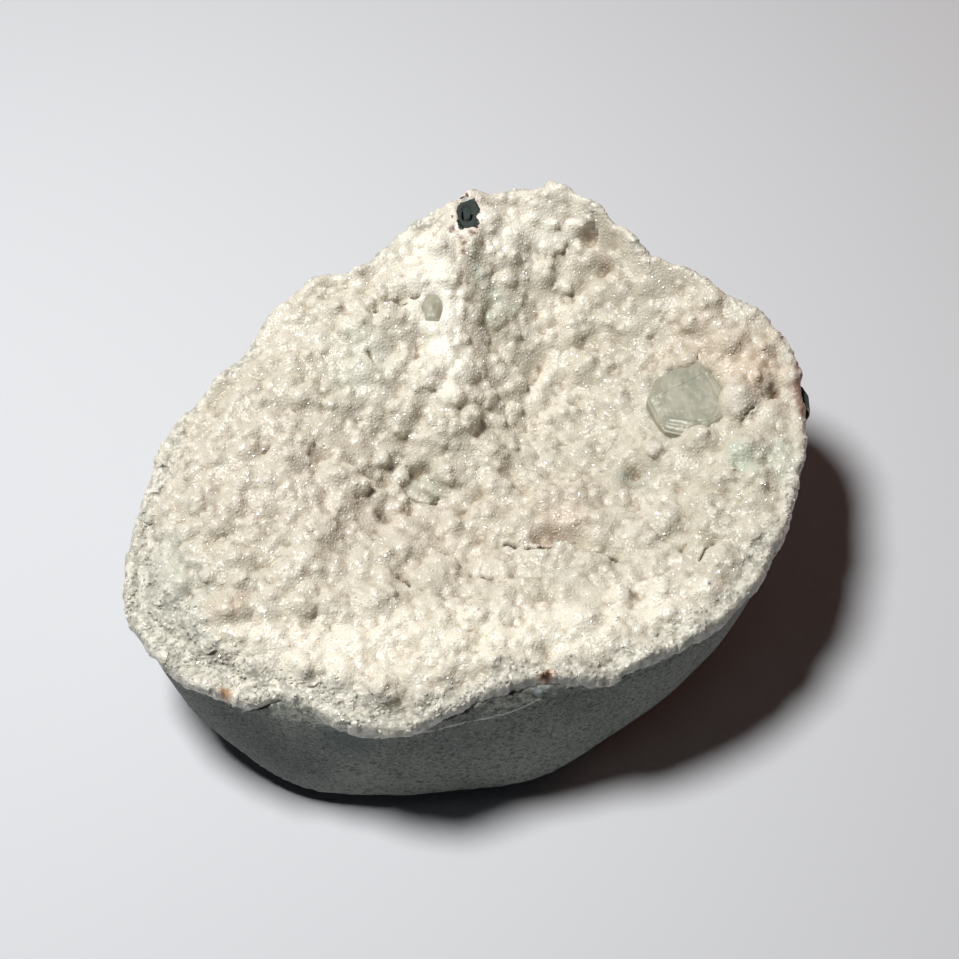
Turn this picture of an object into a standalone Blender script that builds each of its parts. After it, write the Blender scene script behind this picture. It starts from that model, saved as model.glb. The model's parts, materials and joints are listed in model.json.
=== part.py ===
"""Druzy chalcedony: a cream, lumpy chalcedony crust lining a hollow in a trimmed piece of dark basalt.

Four pieces: the basalt it grew in, the crust, and two pale green crystals seated in the crust.
All lengths below are in millimetres and MM turns them into metres. +X is right, +Y is away, +Z is up.
"""

import math

import bmesh
import bpy
import numpy as np
from mathutils import Matrix, Vector
from mathutils.geometry import delaunay_2d_cdt

MM = 0.001
SEED = 11

GAP = 0.3
"""Clearance between touching pieces."""

CURVE_STEPS = 24
"""Samples between two stations of a smooth closed curve."""

ROW_PITCH = math.sqrt(3) / 2
"""Row distance of a triangular pattern, as a share of its spacing."""

SHARP_EDGE = math.radians(50)
"""Edges bent more than this stay sharp when a rounded piece is shaded."""

# Outline of the stone, walked anticlockwise from the right.
# Each station: x, y, height of the crust's lower edge, height of the crust's broken edge,
# how far the foot of the wall stands out (+) or in (-), and the height of that foot.
STATIONS = (
    (51.2, 2.0, 28.5, 3.2, -2.0, 19.0),
    (51.8, 8.5, 28.8, 3.4, -2.6, 18.0),
    (50.8, 16.4, 30.2, 3.8, -3.2, 16.0),
    (47.2, 22.5, 31.0, 4.0, -3.8, 14.0),
    (40.6, 26.9, 32.4, 4.0, -4.0, 12.5),
    (34.3, 31.8, 32.4, 5.6, -4.4, 11.5),
    (27.6, 33.9, 32.0, 7.4, -4.6, 11.0),
    (24.6, 38.2, 32.0, 8.6, -5.0, 11.0),
    (20.4, 41.3, 32.2, 9.4, -5.2, 11.0),
    (16.0, 44.9, 33.0, 9.0, -5.2, 11.0),
    (8.4, 46.1, 34.6, 7.0, -5.0, 10.5),
    (3.0, 44.5, 35.6, 5.4, -4.6, 10.0),
    (-2.4, 44.1, 37.2, 4.2, -4.6, 10.0),
    (-7.5, 41.0, 36.6, 4.2, -4.2, 9.5),
    (-13.0, 37.9, 35.2, 4.2, -4.0, 9.0),
    (-19.1, 31.4, 33.4, 4.0, -3.6, 9.0),
    (-27.2, 29.7, 32.8, 4.0, -3.8, 10.0),
    (-35.0, 21.8, 31.0, 3.8, -3.4, 10.5),
    (-38.8, 15.0, 30.2, 3.8, -3.0, 11.0),
    (-44.2, 9.1, 29.0, 3.6, -2.8, 12.0),
    (-49.3, 2.7, 27.4, 3.4, -2.6, 13.0),
    (-50.9, -3.7, 26.2, 3.4, -2.2, 14.0),
    (-53.2, -9.5, 24.8, 3.2, -2.0, 15.0),
    (-54.1, -18.6, 23.6, 3.2, -1.6, 15.5),
    (-53.7, -27.0, 23.2, 3.0, -1.2, 16.0),
    (-50.8, -32.6, 23.0, 2.8, -0.4, 15.5),
    (-47.1, -36.7, 23.4, 2.6, 0.0, 13.0),
    (-43.1, -39.7, 23.6, 2.4, 0.4, 10.5),
    (-37.1, -42.4, 24.2, 2.2, 0.9, 7.6),
    (-33.6, -44.1, 23.8, 2.4, 1.2, 5.4),
    (-27.5, -43.8, 25.2, 2.0, 1.5, 3.4),
    (-21.6, -46.3, 24.8, 2.4, 1.3, 2.8),
    (-15.8, -48.1, 24.4, 2.6, 1.1, 2.6),
    (-10.7, -48.4, 24.4, 2.8, 1.1, 2.6),
    (-5.7, -46.5, 25.4, 2.4, 1.4, 2.6),
    (0.1, -44.1, 26.4, 2.0, 1.8, 2.8),
    (6.6, -41.5, 27.0, 2.0, 2.4, 3.4),
    (12.7, -41.2, 27.0, 2.0, 2.0, 4.4),
    (19.3, -40.9, 26.4, 2.2, 0.8, 6.6),
    (26.4, -36.8, 26.9, 2.2, -0.2, 9.6),
    (34.4, -32.3, 26.9, 2.0, -0.8, 11.6),
    (38.8, -28.6, 27.3, 1.8, -1.0, 13.0),
    (43.3, -22.5, 28.2, 1.8, -1.2, 15.4),
    (46.6, -16.0, 29.0, 1.8, -1.4, 17.8),
    (49.8, -7.4, 29.8, 2.0, -1.6, 19.6),
)

RING_POINTS = 120
WALL_SMOOTHING = 6
"""Ring points on each side over which the trimmed wall evens out the broken outline."""

# The broken edge of the crust: ripple of the outline, ups and downs of its seam with the basalt,
# how far the edge leans in, and the spread of its lean and of its height.
OUTLINE_RIPPLE = 0.25
OUTLINE_WAVES = (13, 23, 37)
SEAM_ROUGHNESS = 0.45
SEAM_WAVES = (17, 29, 41)
EDGE_LEAN = 1.5
LEAN_SPREAD = (0.7, 1.2)
EDGE_SPREAD = (0.85, 1.15)
EDGE_MIDDLE_LEAN = (0.0, 0.5)
EDGE_MIDDLE_HEIGHT = (0.35, 0.65)
LIP_STRIDE = 4
"""Every so many points of the lip hold the crust's surface at the lip's height."""

CRUST_THICKNESS = 5.0
SEAT_SPACING = 7.0
SEAT_SCATTER = 0.15
SEAT_MARGIN = 3.0
WINDOW_CLEARANCE = 4.2

# Steps of the underside, from the flat base out to the foot of the wall:
# share of the way out, share of the rise.
UNDERSIDE_STEPS = ((0.38, 0.10), (0.78, 0.48))

# Steps of the wall, from its foot up to the seam: share of the rise, and how far it bulges.
WALL_STEPS = ((0.3, 0.4), (0.65, 0.4), (0.9, 0.2))
WALL_ROUGHNESS = 0.12

# The flat underside that the stone rests on: centre, half-lengths and corner exponent.
BASE_CENTRE = (-2.0, -8.0)
BASE_HALF_LENGTHS = (33.0, 27.0)
BASE_EXPONENT = 2.5

# The hollow of the crust, as spots on its surface: x, y, height.
TROUGH = ((18.6, 39.0, 35.5), (18.5, 31.0, 30.5), (13.5, 24.0, 26.0), (11.8, 14.2, 22.3), (10.0, 6.4, 21.8))
TROUGH_LEFT_WALL = ((6.5, 36.5, 37.0), (3.4, 26.7, 32.0), (4.0, 18.2, 27.0), (3.6, 8.2, 24.4))
RIDGE = ((-2.4, 33.9, 39.4), (-2.8, 24.6, 35.8), (-2.6, 15.4, 32.0), (-1.2, 7.6, 28.8), (-6.3, 1.2, 26.6))
LEFT_SLOPE = (
    (-8.1, 34.4, 38.8),
    (-20.6, 25.0, 35.8),
    (-28.5, 19.0, 35.4),
    (-20.6, 13.0, 33.8),
    (-12.6, 8.4, 30.0),
    (-31.0, 4.0, 33.6),
    (-42.0, -4.0, 31.6),
    (-37.4, -13.0, 31.0),
    (-15.7, 0.8, 27.4),
    (-9.2, -2.0, 24.4),
    (-9.6, -11.5, 25.0),
    (-20.0, -11.0, 28.0),
)
FRONT_APRON = (
    (-45.0, -25.0, 29.0),
    (-36.0, -31.0, 28.8),
    (-21.9, -34.4, 28.4),
    (-28.0, -22.0, 29.4),
    (-8.7, -36.0, 28.4),
    (-12.0, -24.0, 27.8),
    (6.1, -28.0, 27.8),
    (17.7, -32.0, 28.4),
    (1.0, -15.5, 24.4),
    (1.5, -7.1, 24.2),
    (12.6, -7.4, 25.6),
    (18.6, -10.5, 26.2),
)
RIGHT_SLOPE = (
    (19.0, -17.5, 25.0),
    (22.9, 12.6, 24.6),
    (21.0, 4.0, 23.6),
    (27.6, 4.4, 26.4),
    (26.6, -5.0, 24.8),
    (32.9, -5.0, 27.0),
    (25.0, -22.0, 26.2),
    (33.1, -24.0, 28.0),
    (37.5, -1.4, 30.0),
    (42.8, -11.5, 30.6),
    (26.4, 23.7, 29.4),
    (34.3, 26.3, 34.0),
    (41.9, 18.3, 33.4),
    (34.0, 12.0, 28.8),
)

# Lumps of the crust: spacing between them, how far each is pushed off the even spacing,
# their height against their radius, and how much flatter they are along the broken edge.
LUMP_SPACING = 5.2
LUMP_SCATTER = 0.17
LUMP_HEIGHT = 1.0
LUMP_SINK = 1.7
LUMP_RADIUS = 0.6
LUMP_SIZES = (0.90, 1.14)
LUMP_RING_POINTS = 6
LUMP_RING_REACH = 0.37
LUMP_RING_SPREAD = (0.9, 1.05)
LUMP_RING_TURN = 0.15
LUMP_MARGIN = 2.3
POINT_MARGIN = 0.7
POINT_SPACING = 0.75
EDGE_FLATTENING = 0.5
EDGE_WIDTH = 5.0

# Smoother stretches of the crust: x, y, radius, how much of the lumps' height is left.
SMOOTH_PATCHES = (
    (-28.0, 20.0, 12.0, 0.45),
    (-12.0, 30.0, 9.0, 0.5),
    (-44.0, 0.0, 9.0, 0.6),
    (-4.0, 22.0, 8.0, 0.6),
)

# Pits and crevices cut into the crust: x, y, half-length, half-width, depth, heading in degrees.
CREVICES = (
    (-13.2, 25.0, 4.6, 0.8, 2.4, 28.0),
    (-10.2, 17.6, 2.0, 0.9, 2.0, 70.0),
    (-17.3, 16.9, 1.8, 0.9, 2.0, 80.0),
    (18.4, 39.2, 2.2, 1.6, 2.2, 20.0),
    (20.6, 34.1, 1.8, 1.4, 2.6, 60.0),
    (46.4, 8.7, 1.1, 1.0, 2.0, 0.0),
    (-15.4, -11.3, 1.3, 1.1, 2.0, 0.0),
    (-9.4, -1.2, 3.2, 1.3, 2.2, 12.0),
    (-10.3, -6.8, 1.3, 1.1, 2.0, 0.0),
    (25.0, -0.8, 1.6, 1.3, 2.0, 100.0),
    (10.0, -14.0, 5.6, 1.0, 2.6, 3.0),
    (18.8, -16.6, 2.8, 0.9, 2.4, -36.0),
    (1.6, -19.8, 2.8, 0.9, 2.0, -6.0),
    (34.9, -17.1, 1.6, 1.0, 1.8, 40.0),
    (43.8, 2.3, 1.5, 0.8, 1.6, -30.0),
)

CREVICE_FACETS = 2

# Window in the crust at the far rim, where the basalt shows: corners round its middle.
WINDOW_CENTRE = (-2.0, 39.0)
WINDOW_CORNERS = ((1.6, 0.9), (0.7, 2.3), (-0.9, 2.6), (-1.7, 1.0), (-1.3, -2.0), (0.0, -3.0), (1.1, -2.2))
WINDOW_KNOB_HEIGHT = 4.2
WINDOW_KNOB_FOOT = 0.72
WINDOW_KNOB_TOP = 0.42

# Basalt knob that stands out under the crust at the right: its middle, reach and half-width.
SIDE_KNOB = (51.6, 10.0, 27.2)
SIDE_KNOB_REACH = 2.9
SIDE_KNOB_WIDTH = 4.2

# Pale green plate: corners of its outline, its thickness, and the steps left by its cleavage.
PLATE_OUTLINE = (
    (39.4, 8.0),
    (38.9, 11.2),
    (37.0, 15.0),
    (35.2, 16.6),
    (32.4, 15.9),
    (28.8, 14.0),
    (27.3, 10.5),
    (28.5, 7.0),
    (29.6, 4.6),
    (32.8, 3.4),
    (36.0, 4.0),
    (38.4, 5.6),
)
PLATE_CENTRE = (33.4, 9.6, 29.2)
PLATE_SLOPE = (0.20, 0.10)
PLATE_THICKNESS = 3.0
PLATE_BEVEL = 0.7
STEP_WIDTH = 0.2
PLATE_STEPS = ((0.45, 12.6, 0.18), (-0.30, 5.6, -0.40))
"""Each cleavage step: slant of its line, where it crosses the plate's middle in y, and its height."""

# Small green crystal at the end of the long crevice: corners, middle and height of its tip.
SMALL_OUTLINE = ((1.5, 0.7), (0.7, 2.4), (-0.8, 2.1), (-1.5, 0.2), (-0.9, -1.9), (0.9, -2.0))
SMALL_CENTRE = (-7.6, 23.6, 35.6)
SMALL_THICKNESS = 3.4
SMALL_BEVEL = 0.5
SMALL_FACES = ((0.35, 0.1), (-0.3, 0.25), (0.0, -0.4))

COLOURS = {
    "basalt_matrix": ((0.070, 0.076, 0.070), 0.82),
    "chalcedony_crust": ((0.700, 0.650, 0.560), 0.42),
    "green_crystal_plate": ((0.430, 0.480, 0.390), 0.22),
    "small_green_crystal": ((0.460, 0.510, 0.430), 0.22),
}


def clear_scene():
    for thing in list(bpy.data.objects):
        bpy.data.objects.remove(thing, do_unlink=True)


def surface_material(name):
    colour, roughness = COLOURS[name]
    material = bpy.data.materials.new(name)
    material.use_nodes = True
    shader = material.node_tree.nodes["Principled BSDF"]
    shader.inputs["Base Color"].default_value = (*colour, 1.0)
    shader.inputs["Roughness"].default_value = roughness
    shader.inputs["Metallic"].default_value = 0.0
    return material


def closed_curve(rows, count):
    """Evenly spaced points on a smooth closed curve through the rows, with every column carried along."""
    table = np.array(rows, dtype=float)
    samples = []
    for i in range(len(table)):
        before, start, end, after = (table[(i + k) % len(table)] for k in (-1, 0, 1, 2))
        for t in np.arange(CURVE_STEPS) / CURVE_STEPS:
            pull = (end - before) * t + (2 * before - 5 * start + 4 * end - after) * t**2
            samples.append(start + 0.5 * (pull + (3 * start - before - 3 * end + after) * t**3))
    samples = np.array(samples + [samples[0]])
    lengths = np.linalg.norm(np.diff(samples[:, :2], axis=0), axis=1)
    along = np.concatenate([[0.0], np.cumsum(lengths)])
    wanted = np.arange(count) * along[-1] / count
    return np.stack([np.interp(wanted, along, column) for column in samples.T], axis=1)


def outward(ring):
    """Unit vectors in the plan that point out of an anticlockwise ring."""
    forward = np.roll(ring[:, :2], -1, axis=0) - np.roll(ring[:, :2], 1, axis=0)
    normal = np.stack([forward[:, 1], -forward[:, 0]], axis=1)
    return normal / np.linalg.norm(normal, axis=1, keepdims=True)


def smooth_noise(angles, waves, random):
    """A smooth closed wobble of about unit size along a ring."""
    total = np.zeros_like(angles)
    for wave in waves:
        total += np.sin(wave * angles + random.uniform(0, 2 * math.pi)) / len(waves) ** 0.5
    return total


def distance_to_ring(points, ring):
    """Distance in the plan to the ring, positive inside it."""
    start = ring[:, :2]
    side = np.roll(start, -1, axis=0) - start
    offset = points[:, None, :] - start[None]
    share = np.clip((offset * side).sum(axis=2) / (side**2).sum(axis=1), 0, 1)
    distance = np.linalg.norm(offset - share[..., None] * side, axis=2).min(axis=1)
    end_y = start[:, 1] + side[:, 1]
    spans = (start[:, 1] > points[:, 1:2]) != (end_y > points[:, 1:2])
    rise = np.where(side[:, 1] == 0, 1e-9, side[:, 1])
    crossing = start[:, 0] + side[:, 0] * (points[:, 1:2] - start[:, 1]) / rise
    inside = (spans & (points[:, 0:1] < crossing)).sum(axis=1) % 2 == 1
    return np.where(inside, distance, -distance)


def triangulated(ring, inner):
    """Triangles over a ring and the points inside it, numbered ring first."""
    corners = [Vector(point[:2]) for point in ring]
    corners += [Vector(point[:2]) for point in inner]
    count = len(ring)
    edges = [(i, (i + 1) % count) for i in range(count)]
    made = delaunay_2d_cdt(corners, edges, [], 1, 1e-6)
    number = [sources[0] for sources in made[3]]
    return [tuple(number[i] for i in face) for face in made[2]]


def even_points(ring, spacing, margin, scatter, random):
    """Points spread over a ring's inside in a loose triangular pattern."""
    low = ring[:, :2].min(axis=0)
    high = ring[:, :2].max(axis=0)
    rows = int((high[1] - low[1]) / (spacing * ROW_PITCH)) + 2
    columns = int((high[0] - low[0]) / spacing) + 2
    points = []
    for row in range(rows):
        for column in range(columns):
            x = low[0] + (column + 0.5 * (row % 2)) * spacing
            points.append((x, low[1] + row * spacing * ROW_PITCH))
    points = np.array(points) + random.uniform(-scatter, scatter, (len(points), 2)) * spacing
    return points[distance_to_ring(points, ring) > margin]


class Surface:
    """A smooth height over the plan, through given spots, as a thin bent plate takes it."""

    def __init__(self, spots):
        spots = np.array(spots, dtype=float)
        self.places = spots[:, :2]
        count = len(spots)
        flat = np.column_stack([np.ones(count), self.places])
        system = np.zeros((count + 3, count + 3))
        system[:count, :count] = self.bend(self.places) + 0.5 * np.eye(count)
        system[:count, count:] = flat
        system[count:, :count] = flat.T
        self.weights = np.linalg.solve(system, np.append(spots[:, 2], np.zeros(3)))

    def bend(self, points):
        distance = np.linalg.norm(points[:, None, :] - self.places[None], axis=2)
        return distance**2 * np.log(distance + 1e-9)

    def height(self, points):
        points = np.asarray(points, dtype=float)[:, :2]
        flat = np.column_stack([np.ones(len(points)), points])
        return self.bend(points) @ self.weights[:-3] + flat @ self.weights[-3:]


def lump_shape(points, centres, radii):
    """Height of the lumps: round tops that meet in creases."""
    distance = np.linalg.norm(points[:, None, :] - centres[None], axis=2)
    dome = np.sqrt(np.clip(radii**2 - distance**2, 0, None))
    return dome.max(axis=1) * LUMP_HEIGHT


def lump_strength(points, ring):
    """How much of the lumps' height is left at each point."""
    strength = np.ones(len(points))
    for x, y, radius, left in SMOOTH_PATCHES:
        near = np.exp(-(((points[:, 0] - x) ** 2 + (points[:, 1] - y) ** 2) / radius**2))
        strength *= 1 - (1 - left) * near
    edge = np.clip(distance_to_ring(points, ring) / EDGE_WIDTH, 0, 1)
    return strength * (EDGE_FLATTENING + (1 - EDGE_FLATTENING) * edge)


def lump_points(ring, random):
    """The lumps' middles and radii, and the crust's surface points: middles, rings and creases."""
    centres = even_points(ring, LUMP_SPACING, LUMP_MARGIN, LUMP_SCATTER, random)
    radii = LUMP_SPACING * LUMP_RADIUS * random.uniform(*LUMP_SIZES, len(centres))
    points = [centres]
    for k in range(LUMP_RING_POINTS):
        turn = 2 * math.pi * (k + 0.5) / LUMP_RING_POINTS
        turn = turn + random.uniform(-LUMP_RING_TURN, LUMP_RING_TURN, len(centres))
        reach = LUMP_RING_REACH * LUMP_SPACING * random.uniform(*LUMP_RING_SPREAD, len(centres))
        points.append(centres + reach[:, None] * np.stack([np.cos(turn), np.sin(turn)], axis=1))
    corners = np.concatenate([ring[:, :2], centres])
    for triangle in triangulated(ring, centres):
        points.append(corners[list(triangle)].mean(axis=0)[None])
    points = np.concatenate(points)
    points = points[distance_to_ring(points, ring) > POINT_MARGIN]
    return centres, radii, spaced(points, POINT_SPACING)


def spaced(points, least):
    """The points without those that crowd an earlier one."""
    kept = []
    for point in points:
        if not kept or np.linalg.norm(np.array(kept) - point, axis=1).min() > least:
            kept.append(point)
    return np.array(kept)


def with_height(points, heights):
    return np.column_stack([points[:, :2], heights])


def solid(name, rings, top_inner, bottom_inner):
    """One closed object: rings of equal count from the bottom up, capped by triangles at both ends."""
    count = len(rings[0])
    mesh = bmesh.new()
    stack = [[mesh.verts.new(point * MM) for point in ring] for ring in rings]
    for lower, upper in zip(stack, stack[1:]):
        for i in range(count):
            j = (i + 1) % count
            mesh.faces.new((lower[i], lower[j], upper[j]))
            mesh.faces.new((lower[i], upper[j], upper[i]))
    for end, inner, order in ((-1, top_inner, 1), (0, bottom_inner, -1)):
        corners = stack[end] + [mesh.verts.new(point * MM) for point in inner]
        for face in triangulated(rings[end], inner):
            mesh.faces.new([corners[i] for i in face[::order]])
    shape = bpy.data.meshes.new(name)
    mesh.to_mesh(shape)
    mesh.free()
    thing = bpy.data.objects.new(name, shape)
    bpy.context.scene.collection.objects.link(thing)
    if name in COLOURS:
        shape.materials.append(surface_material(name))
    return thing


def round_shading(thing):
    thing.data.shade_smooth()
    thing.data.set_sharp_from_angle(angle=SHARP_EDGE)


def base_ring(plan):
    """Points of the flat base, facing the same way out as the outline's points."""
    away = plan - np.array(BASE_CENTRE)
    away /= np.linalg.norm(away, axis=1, keepdims=True)
    share = np.abs(away / np.array(BASE_HALF_LENGTHS)) ** BASE_EXPONENT
    return np.array(BASE_CENTRE) + away * share.sum(axis=1, keepdims=True) ** (-1 / BASE_EXPONENT)


def stone_outline(random):
    """The stone's outline: its plan and the heights and leans that go round with it."""
    table = closed_curve(STATIONS, RING_POINTS)
    turn = np.arange(RING_POINTS) * 2 * math.pi / RING_POINTS
    out = outward(table)
    ripple = OUTLINE_RIPPLE * smooth_noise(turn, OUTLINE_WAVES, random)
    seam = table[:, 2] + SEAM_ROUGHNESS * smooth_noise(turn, SEAM_WAVES, random)
    seam += random.uniform(-SEAM_ROUGHNESS, SEAM_ROUGHNESS, RING_POINTS) / 2
    return table[:, :2] + ripple[:, None] * out, seam, table[:, 3], table[:, 4], table[:, 5], out


def crust_rings(outline, random):
    """The crust's broken edge, from its seam with the basalt up to its lip."""
    plan, seam, edge, _, _, out = outline
    lean = EDGE_LEAN * random.uniform(*LEAN_SPREAD, (RING_POINTS, 1))
    middle = plan - out * lean * random.uniform(*EDGE_MIDDLE_LEAN, (RING_POINTS, 1))
    middle_height = seam + edge * random.uniform(*EDGE_MIDDLE_HEIGHT, RING_POINTS)
    lip_height = seam + edge * random.uniform(*EDGE_SPREAD, RING_POINTS)
    return [
        with_height(plan, seam + GAP / 2),
        with_height(middle, middle_height),
        with_height(plan - out * lean, lip_height),
    ]


def evened(plan):
    """A closed outline with its small bumps taken off by a running mean."""
    reach = range(-WALL_SMOOTHING, WALL_SMOOTHING + 1)
    return sum(np.roll(plan, k, axis=0) for k in reach) / len(reach)


def basalt_rings(outline, random):
    """The basalt's rings: flat base, rounded underside, foot of the wall, wall and seam."""
    plan, seam, _, foot_out, foot_height, _ = outline
    trimmed = evened(plan)
    out = outward(trimmed)
    base = base_ring(trimmed)
    foot = trimmed + foot_out[:, None] * out
    rings = [with_height(base, np.zeros(RING_POINTS))]
    for reach, rise in UNDERSIDE_STEPS:
        rings.append(with_height(base + (foot - base) * reach, foot_height * rise))
    rings.append(with_height(foot, foot_height))
    for rise, bulge in WALL_STEPS:
        height = foot_height + (seam - foot_height) * rise
        stand = bulge + random.uniform(-WALL_ROUGHNESS, WALL_ROUGHNESS, RING_POINTS)
        level = with_height(foot + (trimmed - foot) * rise + out * stand[:, None], height)
        knob = np.exp(-(np.linalg.norm(level - np.array(SIDE_KNOB), axis=1) ** 2) / SIDE_KNOB_WIDTH**2)
        level[:, :2] += out * (knob * SIDE_KNOB_REACH)[:, None]
        rings.append(level)
    rings.append(with_height(plan, seam - GAP / 2))
    return rings


def crust_surface(lip):
    spots = list(TROUGH + TROUGH_LEFT_WALL + RIDGE + LEFT_SLOPE + FRONT_APRON + RIGHT_SLOPE)
    return Surface(spots + [tuple(point) for point in lip[::LIP_STRIDE]])


def seat_points(outline, random):
    """Points where the crust meets the basalt, with closer ones round the window."""
    ring = outline[0]
    window = np.array(WINDOW_CENTRE)
    spread = even_points(ring, SEAT_SPACING, SEAT_MARGIN, SEAT_SCATTER, random)
    spread = spread[np.linalg.norm(spread - window, axis=1) > WINDOW_CLEARANCE]
    corners = np.array(WINDOW_CORNERS)
    return np.concatenate([spread, window + corners * WINDOW_KNOB_FOOT, window + corners * WINDOW_KNOB_TOP])


def make_basalt(outline, seat, surface, random):
    heights = surface.height(seat) - CRUST_THICKNESS - GAP / 2
    heights[-len(WINDOW_CORNERS) :] += WINDOW_KNOB_HEIGHT
    basalt = solid("basalt_matrix", basalt_rings(outline, random), with_height(seat, heights), [])
    round_shading(basalt)


def make_crust(rings, seat, surface, random):
    lip = rings[-1]
    centres, radii, points = lump_points(lip, random)
    lumps = lump_shape(points, centres, radii) - LUMP_SINK
    heights = surface.height(points) + lumps * lump_strength(points, lip)
    underside = with_height(seat, surface.height(seat) - CRUST_THICKNESS + GAP / 2)
    crust = solid("chalcedony_crust", rings, with_height(points, heights), underside)
    round_shading(crust)
    return crust


def crevice_cutter(number, crevice, surface):
    x, y, half_length, half_width, depth, heading = crevice
    mesh = bmesh.new()
    bmesh.ops.create_icosphere(mesh, subdivisions=CREVICE_FACETS, radius=1.0)
    shape = bpy.data.meshes.new(f"crevice_cutter_{number}")
    mesh.to_mesh(shape)
    mesh.free()
    middle = Vector((x, y, surface.height([(x, y)])[0])) * MM
    turn = Matrix.Rotation(math.radians(heading), 4, "Z")
    size = Matrix.Diagonal((half_length * MM, half_width * MM, depth * MM, 1.0))
    shape.transform(Matrix.Translation(middle) @ turn @ size)
    return bpy.data.objects.new(shape.name, shape)


def prism(name, outline, low, high):
    """A straight-sided cutter between two heights."""
    outline = np.array(outline, dtype=float)
    count = len(outline)
    return solid(name, [with_height(outline, np.full(count, height)) for height in (low, high)], [], [])


def window_cutter(surface):
    height = surface.height([WINDOW_CENTRE])[0]
    outline = np.array(WINDOW_CENTRE) + np.array(WINDOW_CORNERS)
    return prism("window_cutter", outline, height - 2 * CRUST_THICKNESS, height + CRUST_THICKNESS)


def plate_plane(points):
    away = points[:, :2] - np.array(PLATE_CENTRE[:2])
    return PLATE_CENTRE[2] + away @ np.array(PLATE_SLOPE)


def plate_top(points):
    """Height of the plate's top: a slanting plane with the steps of its cleavage."""
    heights = plate_plane(points)
    for slant, crossing, rise in PLATE_STEPS:
        line = crossing + slant * (points[:, 0] - PLATE_CENTRE[0])
        heights = heights + np.where(points[:, 1] > line, rise, 0.0)
    return heights


def step_points(ring):
    """Pairs of points on both sides of each cleavage step, so that the step is sharp."""
    points = []
    for slant, crossing, _ in PLATE_STEPS:
        for x in np.linspace(ring[:, 0].min(), ring[:, 0].max(), 9):
            y = crossing + slant * (x - PLATE_CENTRE[0])
            points += [(x, y - STEP_WIDTH / 2), (x, y + STEP_WIDTH / 2)]
    points = np.array(points)
    return points[distance_to_ring(points, ring) > STEP_WIDTH]


def slab(name, outline, bottom, top, bevel, inner):
    """A crystal with straight sides and a bevelled upper rim."""
    outline = np.array(outline, dtype=float)
    narrow = outline - bevel * outward(outline)
    rings = [
        with_height(outline, bottom(outline)),
        with_height(outline, top(outline) - bevel),
        with_height(narrow, top(narrow)),
    ]
    points = inner(narrow)
    return solid(name, rings, with_height(points, top(points)), [])


def make_plate():
    slab(
        "green_crystal_plate",
        PLATE_OUTLINE,
        lambda points: plate_plane(points) - PLATE_THICKNESS,
        plate_top,
        PLATE_BEVEL,
        step_points,
    )


def small_top(points):
    """Height of the small crystal: three faces that meet at a tip."""
    away = points[:, :2] - np.array(SMALL_CENTRE[:2])
    faces = [away @ np.array(slope) for slope in SMALL_FACES]
    return SMALL_CENTRE[2] - np.max(faces, axis=0)


def make_small_crystal():
    centre = np.array(SMALL_CENTRE[:2])
    slab(
        "small_green_crystal",
        centre + np.array(SMALL_OUTLINE),
        lambda points: np.full(len(points), SMALL_CENTRE[2] - SMALL_THICKNESS),
        small_top,
        SMALL_BEVEL,
        lambda ring: centre[None],
    )


def pocket_cutter(name, outline, centre_height, thickness):
    """A cutter for a crystal's seat in the crust, open above."""
    outline = np.array(outline, dtype=float)
    grown = outline + GAP * outward(outline)
    return prism(name, grown, centre_height - thickness - GAP, centre_height + 2 * CRUST_THICKNESS)


def crust_cutters(surface):
    cutters = bpy.data.collections.new("crust_cutters")
    bpy.context.scene.collection.children.link(cutters)
    lowest = plate_plane(np.array(PLATE_OUTLINE)).min()
    small = np.array(SMALL_CENTRE[:2]) + np.array(SMALL_OUTLINE)
    made = [
        window_cutter(surface),
        pocket_cutter("plate_pocket", PLATE_OUTLINE, lowest, PLATE_THICKNESS),
        pocket_cutter("small_pocket", small, SMALL_CENTRE[2], SMALL_THICKNESS),
    ]
    made += [crevice_cutter(i, crevice, surface) for i, crevice in enumerate(CREVICES)]
    for cutter in made:
        for collection in cutter.users_collection:
            collection.objects.unlink(cutter)
        cutters.objects.link(cutter)
        cutter.hide_render = True
        cutter.display_type = "WIRE"
    return cutters


def cut(target, cutters):
    modifier = target.modifiers.new("crevices_and_pockets", "BOOLEAN")
    modifier.operation = "DIFFERENCE"
    modifier.solver = "EXACT"
    modifier.operand_type = "COLLECTION"
    modifier.collection = cutters


def centre_over_base():
    """Moves the whole stone so that its bounding box is centred over the origin."""
    nodes = [thing for thing in bpy.data.objects if not thing.hide_render]
    corners = np.array([vertex.co for node in nodes for vertex in node.data.vertices])
    middle = (corners.min(axis=0) + corners.max(axis=0)) / 2
    for thing in bpy.data.objects:
        thing.data.transform(Matrix.Translation((-middle[0], -middle[1], 0.0)))


def main():
    clear_scene()
    random = np.random.default_rng(SEED)
    outline = stone_outline(random)
    rings = crust_rings(outline, random)
    surface = crust_surface(rings[-1])
    seat = seat_points(outline, random)
    make_basalt(outline, seat, surface, random)
    crust = make_crust(rings, seat, surface, random)
    make_plate()
    make_small_crystal()
    cut(crust, crust_cutters(surface))
    centre_over_base()


main()
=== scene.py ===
# Druzy chalcedony on basalt: the looks of a hand specimen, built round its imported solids.
import json
import math

import bmesh
import bpy
import numpy as np
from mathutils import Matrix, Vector, kdtree, noise

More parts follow.
